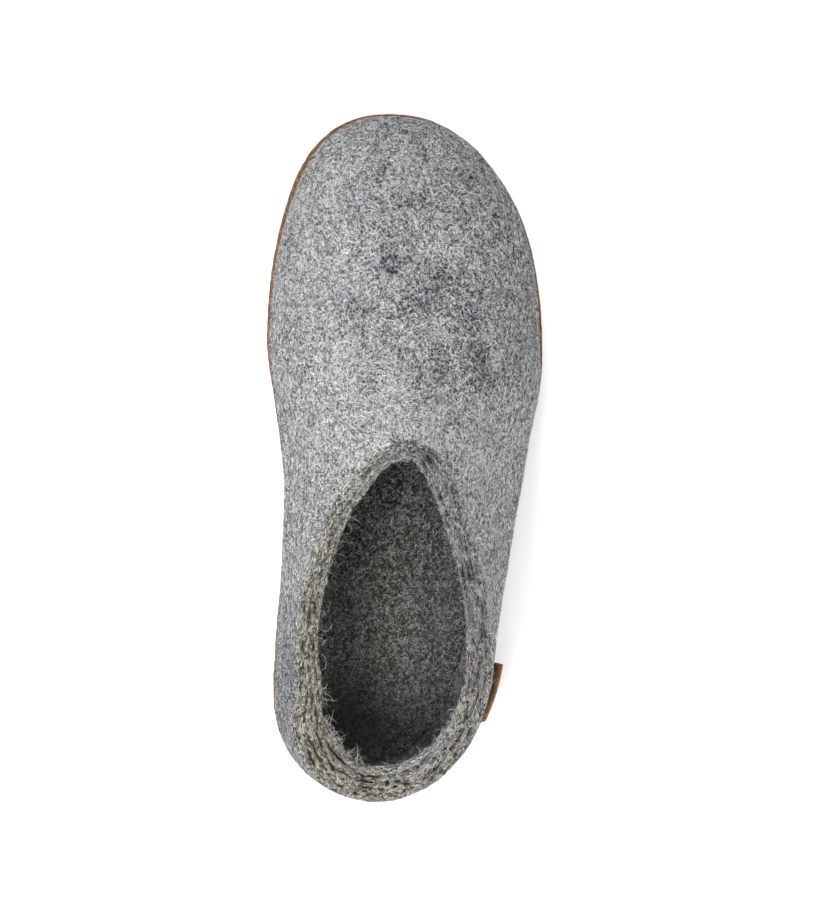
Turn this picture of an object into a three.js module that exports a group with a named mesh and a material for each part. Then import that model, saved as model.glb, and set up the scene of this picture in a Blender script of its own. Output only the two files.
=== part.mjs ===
// Wool mule slipper for the right foot: a seamless felted upper with a low open back, a felt insole,
// a thin leather outsole and a small folded leather tab beside the heel.
//
// Millimetres. +Z is up, +Y points to the toe and +X to the outer (lateral) side of the foot. The origin
// is on the underside of the outsole, halfway along it, on the line that runs forward from the heel's middle.
//
// Every piece is a stack of closed rings. A ring has one point per rib, the ribs run down the medial side
// and back up the lateral side, and the first and last rings are closed by strips from side to side.
import * as THREE from "three";

// Driving dimensions
const SOLE_LENGTH = 262;
const BALL_WIDTH = 108.5; // outsole, across the ball
const INSTEP_HEIGHT = 82; // top of the collar's front edge
const BACK_HEIGHT = 42; // top of the collar behind the heel
const SOLE_THICKNESS = 2.5;
const SOLE_EDGE_ROUND = 0.6;
const SOLE_LIP = 1.5; // how far the outsole stands out beyond the felt at the toe
const TOE_SPRING = 4; // rise of the sole's underside at the tip of the toe
const SPRING_START = 0.72; // share of the length where that rise begins
const ARCH_LIFT = 1.4; // rise of the underside at the waist, between heel and ball
const ARCH_START = 0.2; // shares of the length between which it rises
const ARCH_END = 0.48;
const FELT_WALL = 7; // felt thickness of vamp and sides
const FELT_BOTTOM = 5; // felt under the foot
const HEEL_WALL = 13; // felt thickness of the padded back of the heel, at its rim
const CORNER_PAD = 4.5; // how much thicker still the rim is round the heel's inner corner
const CORNER_PAD_PLACE = [-33, -111]; // where that corner lies in plan
const CORNER_PAD_REACH = 17; // and how far round it the padding reaches
const INSOLE_THICKNESS = 4;
const FIT_GAP = 0.3; // between pieces that lie on each other
const INSOLE_EDGE_GAP = 0.5; // between the insole's edge and the rounded inside corner
const TOE_ROUND = 91.6; // length over which the toe outline rounds off
const HEEL_ROUND = 47; // length over which the heel outline rounds off
const TOE_DROP = 58; // length over which the crown comes down to the toe's tip
const BOTTOM_CURL = 3.4; // how far the felt turns in under its widest line
const CURL_HEIGHT = 8; // height of that turned-in part
const HEEL_CUP = 14; // width of the rounded inside corner between wall and floor, at the heel
const TOE_CUP = 8; // the same at the toe
const CUP_HEIGHT = 17; // height of that corner
const BACK_LEAN = 1.9; // how far the back of the heel leans forward at its rim
const RIM_WALL = 8.5; // felt thickness at the collar, where the edge is fulled thicker
const RIM_THICKENING = 26; // height below the collar over which the wall grows to that thickness
const RIM_REACH = 14; // how far past the collar the inner sheet is worked out before it is cut off
const RIM_CROWN = 1.2; // rounding of the cut collar edge

// The folded tab: a strip of leather bent over into two leaves, with the fold on top
const TAB_LENGTH = 22;
const TAB_HEIGHT = 14;
const TAB_LEATHER = 1.1;
const TAB_SLOT = 0.5; // between the leaves under the fold
const TAB_PLACE = 0.147; // share of the length from the heel at which its middle sits
const TAB_BEDDING = 0.35; // the leaves follow the felt this much higher up, clear of its turned-in bottom
const TAB_STAND_OFF = 2.6; // how far its front end stands off the felt, at the fold
const TAB_REAR_STAND_OFF = 3; // the same at its rear end

// Shape exponents of the rounded ends
const TOE_FULLNESS = 2.28;
const HEEL_FULLNESS = 2.15;
const DROP_FULLNESS = 2.1;

// Cross-sections from heel to toe. at: share of the length. width, centre, ridge: the sole's width, its
// middle and the line of the crown, as shares of the ball width. crown: height of the closed form, as a
// share of the instep height. medial, lateral: how full each side is, as the exponent of its arch.
// lipMedial, lipLateral: how far the sole stands out beyond the felt, in sole lips.
const SECTIONS = [
  { at: 0.0, width: 0.726, centre: -0.046, ridge: -0.046, crown: 0.95, medial: 4.2, lateral: 3.0, lipMedial: 0.3, lipLateral: 0.3 },
  { at: 0.07, width: 0.726, centre: -0.03, ridge: -0.03, crown: 0.96, medial: 4.8, lateral: 2.7, lipMedial: 0.2, lipLateral: -0.2 },
  { at: 0.16, width: 0.726, centre: -0.008, ridge: -0.008, crown: 1.0, medial: 2.4, lateral: 2.2, lipMedial: 0.1, lipLateral: -1.5 },
  { at: 0.25, width: 0.735, centre: 0.01, ridge: 0.0, crown: 1.1, medial: 3.1, lateral: 1.59, lipMedial: 0.1, lipLateral: -3.7 },
  { at: 0.39, width: 0.742, centre: 0.044, ridge: 0.002, crown: 1.15, medial: 2.35, lateral: 1.21, lipMedial: -0.9, lipLateral: -6.2 },
  { at: 0.46, width: 0.8, centre: 0.07, ridge: 0.004, crown: 1.08, medial: 1.95, lateral: 1.23, lipMedial: -0.5, lipLateral: -4.7 },
  { at: 0.515, width: 0.87, centre: 0.09, ridge: 0.008, crown: 1.0, medial: 2.0, lateral: 1.42, lipMedial: -0.2, lipLateral: -1.9 },
  { at: 0.59, width: 0.968, centre: 0.113, ridge: 0.02, crown: 0.86, medial: 2.2, lateral: 1.7, lipMedial: 0.1, lipLateral: 1.0 },
  { at: 0.65, width: 1.0, centre: 0.109, ridge: 0.03, crown: 0.77, medial: 2.4, lateral: 1.9, lipMedial: 0.35, lipLateral: 1.7 },
  { at: 0.76, width: 1.0, centre: 0.106, ridge: 0.045, crown: 0.675, medial: 2.4, lateral: 2.0, lipMedial: 0.45, lipLateral: 1.7 },
  { at: 0.86, width: 1.0, centre: 0.097, ridge: 0.055, crown: 0.61, medial: 2.4, lateral: 2.15, lipMedial: 0.6, lipLateral: 1.6 },
  { at: 0.94, width: 1.0, centre: 0.073, ridge: 0.058, crown: 0.57, medial: 2.4, lateral: 2.3, lipMedial: 0.8, lipLateral: 1.4 },
  { at: 1.0, width: 1.0, centre: 0.055, ridge: 0.055, crown: 0.545, medial: 2.4, lateral: 2.4, lipMedial: 1.0, lipLateral: 1.0 },
];

// The collar's outer edge seen from the side. at: share of the length. rise: share of the way from the
// back's height to the instep's. drop: how much lower its inner edge lies, as a share of the felt wall.
const COLLAR = [
  { at: -0.05, rise: 0.0, drop: 0.55 },
  { at: 0.03, rise: 0.0, drop: 0.55 },
  { at: 0.12, rise: 0.05, drop: 0.52 },
  { at: 0.2, rise: 0.13, drop: 0.5 },
  { at: 0.27, rise: 0.245, drop: 0.48 },
  { at: 0.35, rise: 0.425, drop: 0.48 },
  { at: 0.424, rise: 0.66, drop: 0.45 },
  { at: 0.475, rise: 0.84, drop: 0.42 },
  { at: 0.514, rise: 1.0, drop: 0.4 },
  { at: 0.56, rise: 1.2, drop: 0.4 },
];

const HEEL_PADDING = 0.3; // share of the length over which the padded heel thins out to the plain wall
const CUP_CHANGE = 0.6; // share of the length over which the inside corner tightens

// The line inside the slipper towards which the inside corner and the insole's edge are drawn in
const MIDLINE_FRONT = 60;
const MIDLINE_BACK = -90;

// Resolution
const STATIONS = 52; // ribs on each side of the slipper
const OUTER_RINGS = 15;
const INNER_RINGS = 9;
const BED_STEPS = [0, 0.08, 0.3, 0.6, 1]; // shares of the insole's thickness

const BASE = SOLE_THICKNESS + FIT_GAP; // height of the felt's underside
const FLOOR = BASE + FELT_BOTTOM; // height of the felt floor inside
const HEEL_END = -SOLE_LENGTH / 2;
const TOE_END = SOLE_LENGTH / 2;

// A smooth curve through one column of a table, with straight ends.
function column(table, name) {
  const at = table.map((row) => row.at);
  const value = table.map((row) => row[name]);
  const last = at.length - 1;
  const slope = at.map((_, i) => {
    const a = Math.max(0, i - 1);
    const b = Math.min(last, i + 1);
    return (value[b] - value[a]) / (at[b] - at[a]);
  });
  return (share) => {
    const x = Math.min(at[last], Math.max(at[0], share));
    let i = 0;
    while (i < last - 1 && x > at[i + 1]) i += 1;
    const h = at[i + 1] - at[i];
    const t = (x - at[i]) / h;
    return (
      (2 * t ** 3 - 3 * t ** 2 + 1) * value[i] +
      (t ** 3 - 2 * t ** 2 + t) * h * slope[i] +
      (3 * t ** 2 - 2 * t ** 3) * value[i + 1] +
      (t ** 3 - t ** 2) * h * slope[i + 1]
    );
  };
}

const section = Object.fromEntries(
  Object.keys(SECTIONS[0]).filter((key) => key !== "at").map((key) => [key, column(SECTIONS, key)]),
);
const collarRise = column(COLLAR, "rise");
const collarDrop = column(COLLAR, "drop");
const share = (y) => (y - HEEL_END) / SOLE_LENGTH;
const collarHeight = (y) => BACK_HEIGHT + (INSTEP_HEIGHT - BACK_HEIGHT) * collarRise(share(y));

// 0 at the tip, 1 once the distance reaches the length over which an end is rounded.
function rounded(distance, length, fullness) {
  if (distance <= 0) return 0;
  const left = Math.max(0, 1 - distance / length);
  return (1 - left ** fullness) ** (1 / fullness);
}

// The quarter round that turns a wall in towards its bottom: 1 at the bottom, 0 at its full height.
function turnedIn(height, fullHeight) {
  const left = Math.max(0, 1 - Math.max(0, height) / fullHeight);
  return 1 - Math.sqrt(1 - left ** 2);
}

// How far the whole slipper rises from the ground at a place: under the arch and at the toe.
function lift(y) {
  const s = share(y);
  const arch = Math.min(1, Math.max(0, (s - ARCH_START) / (ARCH_END - ARCH_START)));
  const toe = Math.max(0, (s - SPRING_START) / (1 - SPRING_START));
  return ARCH_LIFT * (0.5 - 0.5 * Math.cos(2 * Math.PI * arch)) + TOE_SPRING * toe ** 2;
}

// Half of a section's width on one side of the ridge line, inset evenly. ends: how far the rounding of
// toe and heel leaves the section open, 0 to 1. side: -1 medial, 1 lateral.
function halfSection(s, side, ends, inset) {
  const middle = (section.centre(s) - section.ridge(s)) * BALL_WIDTH;
  const half = (section.width(s) / 2) * BALL_WIDTH - inset;
  return Math.max(0, ends * half + side * middle * (1 - (1 - ends) ** 2));
}

function soleEdge(y, side, inset) {
  const s = share(y);
  const ends =
    rounded(TOE_END - inset - y, TOE_ROUND - inset, TOE_FULLNESS) *
    rounded(y - HEEL_END - inset, HEEL_ROUND - inset, HEEL_FULLNESS);
  return section.ridge(s) * BALL_WIDTH + side * halfSection(s, side, ends, inset);
}

// The felt's outside, and the same without its turned-in bottom, from which the inside is set off. Each
// says how far its walls lie in from their widest line at a height.
const outside = { inset: (z) => BOTTOM_CURL * turnedIn(z - BASE, CURL_HEIGHT) };
const plain = { inset: () => 0 };
const cupWidth = (s) => HEEL_CUP + (TOE_CUP - HEEL_CUP) * Math.min(1, Math.max(0, s / CUP_CHANGE));
const backLean = (z) => BACK_LEAN * (Math.max(0, z - BASE) / BACK_HEIGHT) ** 2;

// Half the width of a form at a place and height, measured from the ridge line.
function halfWidth(form, y, z, side) {
  const s = share(y);
  const inset = form.inset(z);
  const fromToe = TOE_END - SOLE_LIP - inset - y;
  const fromHeel = y - HEEL_END - SOLE_LIP / 2 - inset - backLean(z);
  const top = (section.crown(s) * INSTEP_HEIGHT - BASE) * rounded(fromToe, TOE_DROP, DROP_FULLNESS);
  if (fromToe <= 0 || fromHeel <= 0 || z - BASE >= top) return 0;
  const lip = (side < 0 ? section.lipMedial(s) : section.lipLateral(s)) * SOLE_LIP;
  const fullness = side < 0 ? section.medial(s) : section.lateral(s);
  const arch = (1 - (Math.max(0, z - BASE) / top) ** fullness) ** (1 / fullness);
  const ends =
    rounded(fromToe, TOE_ROUND - inset, TOE_FULLNESS) *
    rounded(fromHeel, HEEL_ROUND - inset, HEEL_FULLNESS);
  return arch * halfSection(s, side, ends, lip + inset);
}

// Where a ray from inside a form leaves it.
function exit(form, from, direction) {
  let near = 0;
  let far = SOLE_LENGTH;
  const at = (distance) => from.clone().addScaledVector(direction, distance);
  for (let i = 0; i < 26; i += 1) {
    const middle = (near + far) / 2;
    const p = at(middle);
    const ridge = section.ridge(share(p.y)) * BALL_WIDTH;
    const half = halfWidth(form, p.y, p.z, p.x < ridge ? -1 : 1);
    if (p.z > BASE && Math.abs(p.x - ridge) < half) near = middle;
    else far = middle;
  }
  return at(near);
}

// The ribs' stations: closer together at both ends, where the outline turns.
const stations = Array.from({ length: STATIONS + 1 }, (_, j) => (1 - Math.cos((Math.PI * j) / STATIONS)) / 2);

// The order of the ribs round the slipper: heel, medial side, toe, lateral side.
const ribs = [
  ...stations.map((s) => ({ s, side: -1 })),
  ...stations.slice(1, -1).reverse().map((s) => ({ s, side: 1 })),
];

// The ends of the line under the collar's opening from which the ribs fan out.
const FAN_FRONT = -24;
const FAN_BACK = -88;
const FAN_HEIGHT = 26;

// A rib: the curve in which one upright plane cuts a form, from its bottom to so far beyond the collar.
function rib(form, { s, side }, beyond) {
  const low = HEEL_END + SOLE_LIP / 2 + form.inset(BASE);
  const high = TOE_END - SOLE_LIP - form.inset(BASE);
  const y = low + s * (high - low);
  const ridge = section.ridge(share(y)) * BALL_WIDTH;
  const foot = new THREE.Vector3(ridge + side * halfWidth(form, y, BASE, side), y, BASE);
  const pivot = new THREE.Vector3(0, Math.min(FAN_FRONT, Math.max(FAN_BACK, y)), FAN_HEIGHT);
  const level = new THREE.Vector3(foot.x - pivot.x, foot.y - pivot.y, 0);
  const reach = level.length();
  level.divideScalar(reach);
  const lowest = Math.atan2(foot.z - pivot.z, reach);
  const at = (angle) => {
    const ray = level.clone().multiplyScalar(Math.cos(angle));
    ray.z = Math.sin(angle);
    return exit(form, pivot, ray);
  };
  // The collar's edge lies where the form passes the cut.
  let under = lowest;
  let over = Math.PI / 2;
  for (let i = 0; i < 26; i += 1) {
    const middle = (under + over) / 2;
    const p = at(middle);
    if (p.z < collarHeight(p.y) + beyond) under = middle;
    else over = middle;
  }
  const fine = 70;
  const points = [foot];
  for (let i = 1; i <= fine; i += 1) points.push(at(lowest + ((under - lowest) * i) / fine));
  return points;
}

// Where a curve of points crosses from one side of a level to the other: the index after it, and the point.
function crossing(points, level) {
  const i = points.findIndex((p) => level(p) > 0);
  const a = points[i - 1];
  const b = points[i];
  return { i, point: a.clone().lerp(b, level(a) / (level(a) - level(b))) };
}

// The felt's thickness at a place: more towards the collar, and most round the back of the heel.
function wallAt(p) {
  const s = share(p.y);
  const heel = Math.max(0, 1 - s / HEEL_PADDING) ** 2;
  const nearRim = Math.min(1, Math.max(0, 1 - (collarHeight(p.y) - p.z) / RIM_THICKENING));
  const [x, y] = CORNER_PAD_PLACE;
  const corner = Math.exp(-(((p.x - x) ** 2 + (p.y - y) ** 2) / CORNER_PAD_REACH ** 2));
  const rimWall = RIM_WALL + (HEEL_WALL - RIM_WALL) * heel + CORNER_PAD * corner;
  return FELT_WALL + (rimWall - FELT_WALL) * nearRim;
}

// The inner sheet of the felt: the plain form's ribs set off inwards by the wall, cut off at the floor
// and at the collar's inner edge, with a rounded corner between wall and floor.
function innerRibs() {
  const outer = ribs.map((r) => rib(plain, r, RIM_REACH));
  const last = outer[0].length - 1;
  return outer.map((curve, k) => {
    const before = outer[(k + ribs.length - 1) % ribs.length];
    const after = outer[(k + 1) % ribs.length];
    const sheet = curve.map((p, j) => {
      const along = curve[Math.min(last, j + 1)].clone().sub(curve[Math.max(0, j - 1)]);
      const across = after[j].clone().sub(before[j]);
      return p.clone().addScaledVector(along.cross(across).normalize(), -wallAt(p));
    });
    const foot = crossing(sheet, (p) => p.z - FLOOR);
    const edge = crossing(sheet, (p) => p.z - collarHeight(p.y) + collarDrop(share(p.y)) * FELT_WALL);
    return [foot.point, ...sheet.slice(foot.i, edge.i), edge.point].map((p) => {
      const middle = Math.min(MIDLINE_FRONT, Math.max(MIDLINE_BACK, p.y));
      const cup = cupWidth(share(p.y)) * turnedIn(p.z - FLOOR, CUP_HEIGHT);
      const inward = new THREE.Vector3(-p.x, middle - p.y, 0).normalize();
      return p.addScaledVector(inward, cup);
    });
  });
}

// Spreads a number of points evenly along a fine curve, with more of them where it bends.
function spread(points, count) {
  const bendWeight = 14; // millimetres of length that one radian of bend is worth
  const travelled = [0];
  for (let i = 1; i < points.length; i += 1) {
    const step = points[i].clone().sub(points[i - 1]);
    const next = i + 1 < points.length ? points[i + 1].clone().sub(points[i]) : step;
    const bend = step.lengthSq() * next.lengthSq() > 0 ? step.angleTo(next) : 0;
    travelled.push(travelled[i - 1] + step.length() + bendWeight * bend);
  }
  const total = travelled[travelled.length - 1];
  let i = 1;
  return Array.from({ length: count + 1 }, (_, k) => {
    const goal = (total * k) / count;
    while (i < points.length - 1 && travelled[i] < goal) i += 1;
    const t = (goal - travelled[i - 1]) / (travelled[i] - travelled[i - 1]);
    return points[i - 1].clone().lerp(points[i], Math.min(1, Math.max(0, t)));
  });
}

// Turns curves that run up each rib into rings that run round the slipper.
const ringsOf = (curves) => curves[0].map((_, k) => curves.map((curve) => curve[k]));

// A solid from rings: walls between neighbouring rings, and a strip floor across the first and the last.
function skin(name, rings, material) {
  const round = rings[0].length;
  const positions = [];
  for (const ring of rings)
    for (const p of ring) positions.push(p.x, p.y, p.z + lift(p.y));
  const index = [];
  for (let r = 0; r + 1 < rings.length; r += 1)
    for (let k = 0; k < round; k += 1) {
      const a = r * round + k;
      const b = r * round + ((k + 1) % round);
      index.push(a, a + round, b, b, a + round, b + round);
    }
  const cap = (start, up) => {
    for (let j = 0; j < STATIONS; j += 1) {
      const a = start + j;
      const b = start + j + 1;
      const c = start + ((round - j) % round);
      const d = start + ((round - j - 1) % round);
      const faces = [];
      if (a !== c) faces.push([a, b, c]);
      if (b !== d) faces.push([b, d, c]);
      for (const [p, q, t] of faces) index.push(...(up ? [p, t, q] : [p, q, t]));
    }
  };
  cap(0, false);
  cap((rings.length - 1) * round, true);
  const geometry = new THREE.BufferGeometry();
  geometry.setAttribute("position", new THREE.Float32BufferAttribute(positions, 3));
  geometry.setIndex(index);
  geometry.computeVertexNormals();
  const mesh = new THREE.Mesh(geometry, material);
  mesh.name = name;
  return mesh;
}

// The inner ribs in two runs: the bed up to the insole's height in fixed steps, then the wall above it.
const innerFine = innerRibs();
const bedAt = (curve, t) => crossing(curve, (p) => p.z - FLOOR - t * INSOLE_THICKNESS);
const bedCurves = innerFine.map((curve) => [curve[0], ...BED_STEPS.slice(1).map((t) => bedAt(curve, t).point)]);
const wallCurves = innerFine.map((curve) => {
  const { i, point } = bedAt(curve, 1);
  return spread([point, ...curve.slice(i)], INNER_RINGS);
});

function makeUpper() {
  const felt = new THREE.MeshStandardMaterial({ color: 0x9c9c9b, roughness: 0.95, metalness: 0 });
  const outer = ribs.map((r) => spread(rib(outside, r, 0), OUTER_RINGS));
  const inner = wallCurves.map((curve, k) => [...bedCurves[k], ...curve.slice(1)].reverse());
  const rim = outer.map((curve, k) => {
    const a = curve[OUTER_RINGS];
    const b = inner[k][0];
    return [0.25, 0.75].map((t) => {
      const p = a.clone().lerp(b, t);
      p.z += RIM_CROWN;
      return p;
    });
  });
  return skin("upper", [...ringsOf(outer), ...ringsOf(rim), ...ringsOf(inner)], felt);
}

function makeOutsole() {
  const leather = new THREE.MeshStandardMaterial({ color: 0x6d4a2e, roughness: 0.9, metalness: 0 });
  const levels = [
    { z: 0, inset: SOLE_EDGE_ROUND },
    { z: SOLE_EDGE_ROUND, inset: 0 },
    { z: SOLE_THICKNESS - SOLE_EDGE_ROUND / 2, inset: 0 },
    { z: SOLE_THICKNESS, inset: SOLE_EDGE_ROUND / 2 },
  ];
  const rings = levels.map(({ z, inset }) => ribs.map(({ s, side }) => {
    const y = HEEL_END + inset + s * (SOLE_LENGTH - 2 * inset);
    return new THREE.Vector3(soleEdge(y, side, inset), y, z);
  }));
  return skin("outsole", rings, leather);
}

// The insole lies on the upper's felt floor and follows its rounded corner a fitting gap away.
function makeInsole() {
  const felt = new THREE.MeshStandardMaterial({ color: 0x5b5b55, roughness: 0.97, metalness: 0 });
  const rings = BED_STEPS.map((_, step) => bedCurves.map((curve) => {
    const p = curve[step].clone();
    p.z += FIT_GAP;
    const middle = Math.min(MIDLINE_FRONT, Math.max(MIDLINE_BACK, p.y));
    const inward = new THREE.Vector3(-p.x, middle - p.y, 0).normalize();
    return p.addScaledVector(inward, INSOLE_EDGE_GAP);
  }));
  return skin("insole", rings, felt);
}

function makeTab() {
  const leather = new THREE.MeshStandardMaterial({ color: 0x6b4526, roughness: 0.8, metalness: 0 });
  const bottom = BASE;
  const round = TAB_LEATHER + TAB_SLOT / 2;
  const straight = TAB_HEIGHT - round;
  const outerSteps = 6;
  const foldSteps = 8;
  const slotRound = TAB_SLOT / 2;
  // The fold's profile: across is measured from the middle between the leaves, up from the bottom.
  const profile = [];
  for (let i = 0; i < outerSteps; i += 1) profile.push({ across: round, up: straight * (i / outerSteps) ** 2 });
  for (let i = 0; i <= foldSteps; i += 1) {
    const angle = (Math.PI * i) / foldSteps;
    profile.push({ across: round * Math.cos(angle), up: straight + round * Math.sin(angle) });
  }
  for (let i = outerSteps - 1; i >= 0; i -= 1) profile.push({ across: -round, up: straight * (i / outerSteps) ** 2 });
  for (let i = 0; i < outerSteps; i += 1) profile.push({ across: -slotRound, up: straight * (i / outerSteps) ** 2 });
  profile.push({ across: -slotRound, up: straight });
  profile.push({ across: 0, up: straight + slotRound });
  profile.push({ across: slotRound, up: straight });
  for (let i = outerSteps - 1; i >= 0; i -= 1) profile.push({ across: slotRound, up: straight * (i / outerSteps) ** 2 });
  const steps = 6;
  const rings = Array.from({ length: steps + 1 }, (_, i) => {
    const along = i / steps;
    const y = HEEL_END + TAB_PLACE * SOLE_LENGTH + (along - 0.5) * TAB_LENGTH;
    const s = share(y);
    return profile.map(({ across, up }) => {
      const z = bottom + up;
      const felt = section.ridge(s) * BALL_WIDTH + halfWidth(outside, y, z + TAB_BEDDING, 1);
      const standOff = TAB_REAR_STAND_OFF + (TAB_STAND_OFF - TAB_REAR_STAND_OFF) * along;
      const away = standOff * (up / TAB_HEIGHT);
      return new THREE.Vector3(felt + FIT_GAP + round + away + across, y, z);
    });
  });
  const count = profile.length;
  const positions = rings.flat().flatMap((p) => [p.x, p.y, p.z]);
  const index = [];
  for (let r = 0; r < steps; r += 1)
    for (let k = 0; k < count; k += 1) {
      const a = r * count + k;
      const b = r * count + ((k + 1) % count);
      index.push(a, a + count, b, b, a + count, b + count);
    }
  const contour = profile.map(({ across, up }) => new THREE.Vector2(across, up));
  for (const [a, b, c] of THREE.ShapeUtils.triangulateShape(contour, [])) {
    const last = steps * count;
    index.push(a, b, c, last + a, last + c, last + b);
  }
  const geometry = new THREE.BufferGeometry();
  geometry.setAttribute("position", new THREE.Float32BufferAttribute(positions, 3));
  geometry.setIndex(index);
  geometry.computeVertexNormals();
  const mesh = new THREE.Mesh(geometry, leather);
  mesh.name = "side_tab";
  return mesh;
}

const slipper = new THREE.Group();
slipper.add(makeUpper(), makeOutsole(), makeInsole(), makeTab());

export default slipper;
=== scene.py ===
"""Wool mule slipper, right foot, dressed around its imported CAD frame.

The felt's form is worked out here from the same named sizes and tables as the CAD upper, only finer.
Lengths inside the functions are millimetres, and MM turns them into Blender's metres.
"""

import math

import bpy
import numpy as np
from mathutils import Matrix, Vector, noise


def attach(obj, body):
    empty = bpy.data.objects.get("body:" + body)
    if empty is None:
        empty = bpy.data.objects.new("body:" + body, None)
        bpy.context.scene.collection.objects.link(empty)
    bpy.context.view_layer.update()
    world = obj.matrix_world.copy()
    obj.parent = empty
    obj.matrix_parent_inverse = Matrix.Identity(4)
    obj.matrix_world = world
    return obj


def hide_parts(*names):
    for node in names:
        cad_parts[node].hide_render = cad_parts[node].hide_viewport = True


MM = 0.001

# The slipper's sizes, as in the CAD source
SOLE_LENGTH = 262
BALL_WIDTH = 108.5
INSTEP_HEIGHT = 82
BACK_HEIGHT = 42
SOLE_THICKNESS = 2.5
SOLE_LIP = 1.5
TOE_SPRING = 4
SPRING_START = 0.72
ARCH_LIFT = 1.4
ARCH_START = 0.2
ARCH_END = 0.48
FELT_WALL = 7
FELT_BOTTOM = 5
HEEL_WALL = 13
CORNER_PAD = 4.5
CORNER_PAD_PLACE = (-33, -111)
CORNER_PAD_REACH = 17
INSOLE_THICKNESS = 4
FIT_GAP = 0.3
INSOLE_EDGE_GAP = 0.15
TOE_ROUND = 91.6
HEEL_ROUND = 47
TOE_DROP = 58
BOTTOM_CURL = 3.4
CURL_HEIGHT = 8
HEEL_CUP = 14
TOE_CUP = 8
CUP_HEIGHT = 17
BACK_LEAN = 1.9
RIM_WALL = 8.5
RIM_THICKENING = 26
RIM_REACH = 14
RIM_CROWN = 1.5
TOE_FULLNESS = 2.28
HEEL_FULLNESS = 2.15
DROP_FULLNESS = 2.1
HEEL_PADDING = 0.3
CUP_CHANGE = 0.6
MIDLINE_FRONT = 60
MIDLINE_BACK = -90
FAN_FRONT = -24
FAN_BACK = -88
FAN_HEIGHT = 26

BASE = SOLE_THICKNESS + FIT_GAP
FLOOR = BASE + FELT_BOTTOM
HEEL_END = -SOLE_LENGTH / 2
TOE_END = SOLE_LENGTH / 2

# Cross-sections from heel to toe, as in the CAD source. at: share of the length. width, centre and
# ridge: shares of the ball width. crown: share of the instep height. medial, lateral: the fullness of
# each side's arch. lip_medial, lip_lateral: how far the sole stands out, in sole lips.
SECTION_NAMES = (
    "at", "width", "centre", "ridge", "crown", "medial", "lateral", "lip_medial", "lip_lateral",
)
SECTIONS = (
    (0.0, 0.726, -0.046, -0.046, 0.95, 4.2, 3.0, 0.3, 0.3),
    (0.07, 0.726, -0.03, -0.03, 0.96, 4.8, 2.7, 0.2, -0.2),
    (0.16, 0.726, -0.008, -0.008, 1.0, 2.4, 2.2, 0.1, -1.5),
    (0.25, 0.735, 0.01, 0.0, 1.1, 3.1, 1.59, 0.1, -3.7),
    (0.39, 0.742, 0.044, 0.002, 1.15, 2.35, 1.21, -0.9, -6.2),
    (0.46, 0.8, 0.07, 0.004, 1.08, 1.95, 1.23, -0.5, -4.7),
    (0.515, 0.87, 0.09, 0.008, 1.0, 2.0, 1.42, -0.2, -1.9),
    (0.59, 0.968, 0.113, 0.02, 0.86, 2.2, 1.7, 0.1, 1.0),
    (0.65, 1.0, 0.109, 0.03, 0.77, 2.4, 1.9, 0.35, 1.7),
    (0.76, 1.0, 0.106, 0.045, 0.675, 2.4, 2.0, 0.45, 1.7),
    (0.86, 1.0, 0.097, 0.055, 0.61, 2.4, 2.15, 0.6, 1.6),
    (0.94, 1.0, 0.073, 0.058, 0.57, 2.4, 2.3, 0.8, 1.4),
    (1.0, 1.0, 0.055, 0.055, 0.545, 2.4, 2.4, 1.0, 1.0),
)

# The collar's outer edge, as in the CAD source. rise: share of the way from the back's height to the
# instep's. drop: how much lower the inner edge lies, as a share of the felt wall.
COLLAR_NAMES = ("at", "rise", "drop")
COLLAR = (
    (-0.05, 0.0, 0.55),
    (0.03, 0.0, 0.55),
    (0.12, 0.05, 0.52),
    (0.2, 0.13, 0.5),
    (0.27, 0.245, 0.48),
    (0.35, 0.425, 0.48),
    (0.424, 0.66, 0.45),
    (0.475, 0.84, 0.42),
    (0.514, 1.0, 0.4),
    (0.56, 1.2, 0.4),
)

# How finely the felt is drawn
STATIONS = 240
RIB_STEPS = 150
BISECTIONS = 24
WALL_RINGS = 50
RIM_RINGS = 28
LINING_RINGS = 30
BED_STEPS = (0.0, 0.08, 0.3, 0.6, 1.0)
BED_COLUMNS = 26
BED_EDGE_COLUMNS = 3

# The areas of the felt's surface, and how strongly the hand-felted lumps show on each
WALL = 0
RIM = 1
LINING = 2
LUMP_STRENGTHS = (1.0, 0.8, 0.6)

# Heights and sizes of the lumps on the felt and the insole, and of the roughness of the sole's edge
FELT_LUMPS = ({"height": 0.45, "size": 21}, {"height": 0.16, "size": 5.5})
INSOLE_LUMPS = ({"height": 0.25, "size": 17}, {"height": 0.12, "size": 5})
EDGE_ROUGHNESS = ({"height": 0.14, "size": 3.2}, {"height": 0.126, "size": 1.1})
INSOLE_WORN = 0.3
EDGE_WORN = 0.1
LEVEL_NEAR_FLOOR = 8

# How far the felt swells over the sole's edge on the inner side. The swell grows between two heights
# above the sole and fades between two heights above the ground, being full at the lower one.
FELT_PROUD = 0.15
PROUD_GROWS = (1, 6)
PROUD_FADES = (48, 18)
PROUD_TURN = 0.2

# How far the felt is drawn in round the toe, from where to where along the slipper, and how much of
# that reaches the inner side
TOE_DRAWN_IN = 0.6
TOE_DRAWN_GROWS = (20, 100)
TOE_DRAWN_TURN = 0.6
TOE_DRAWN_LEAST = 0.25

# The sole's edge from its underside to its top: each step's height and how far it is inset
SOLE_EDGE_STEPS = (
    (0, 2.2),
    (0, 0.9),
    (0.15, 0.35),
    (0.5, 0.05),
    (1.0, 0),
    (1.6, 0),
    (2.1, 0.08),
    (2.4, 0.3),
    (SOLE_THICKNESS, 0.7),
    (SOLE_THICKNESS, 2.4),
)

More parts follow.
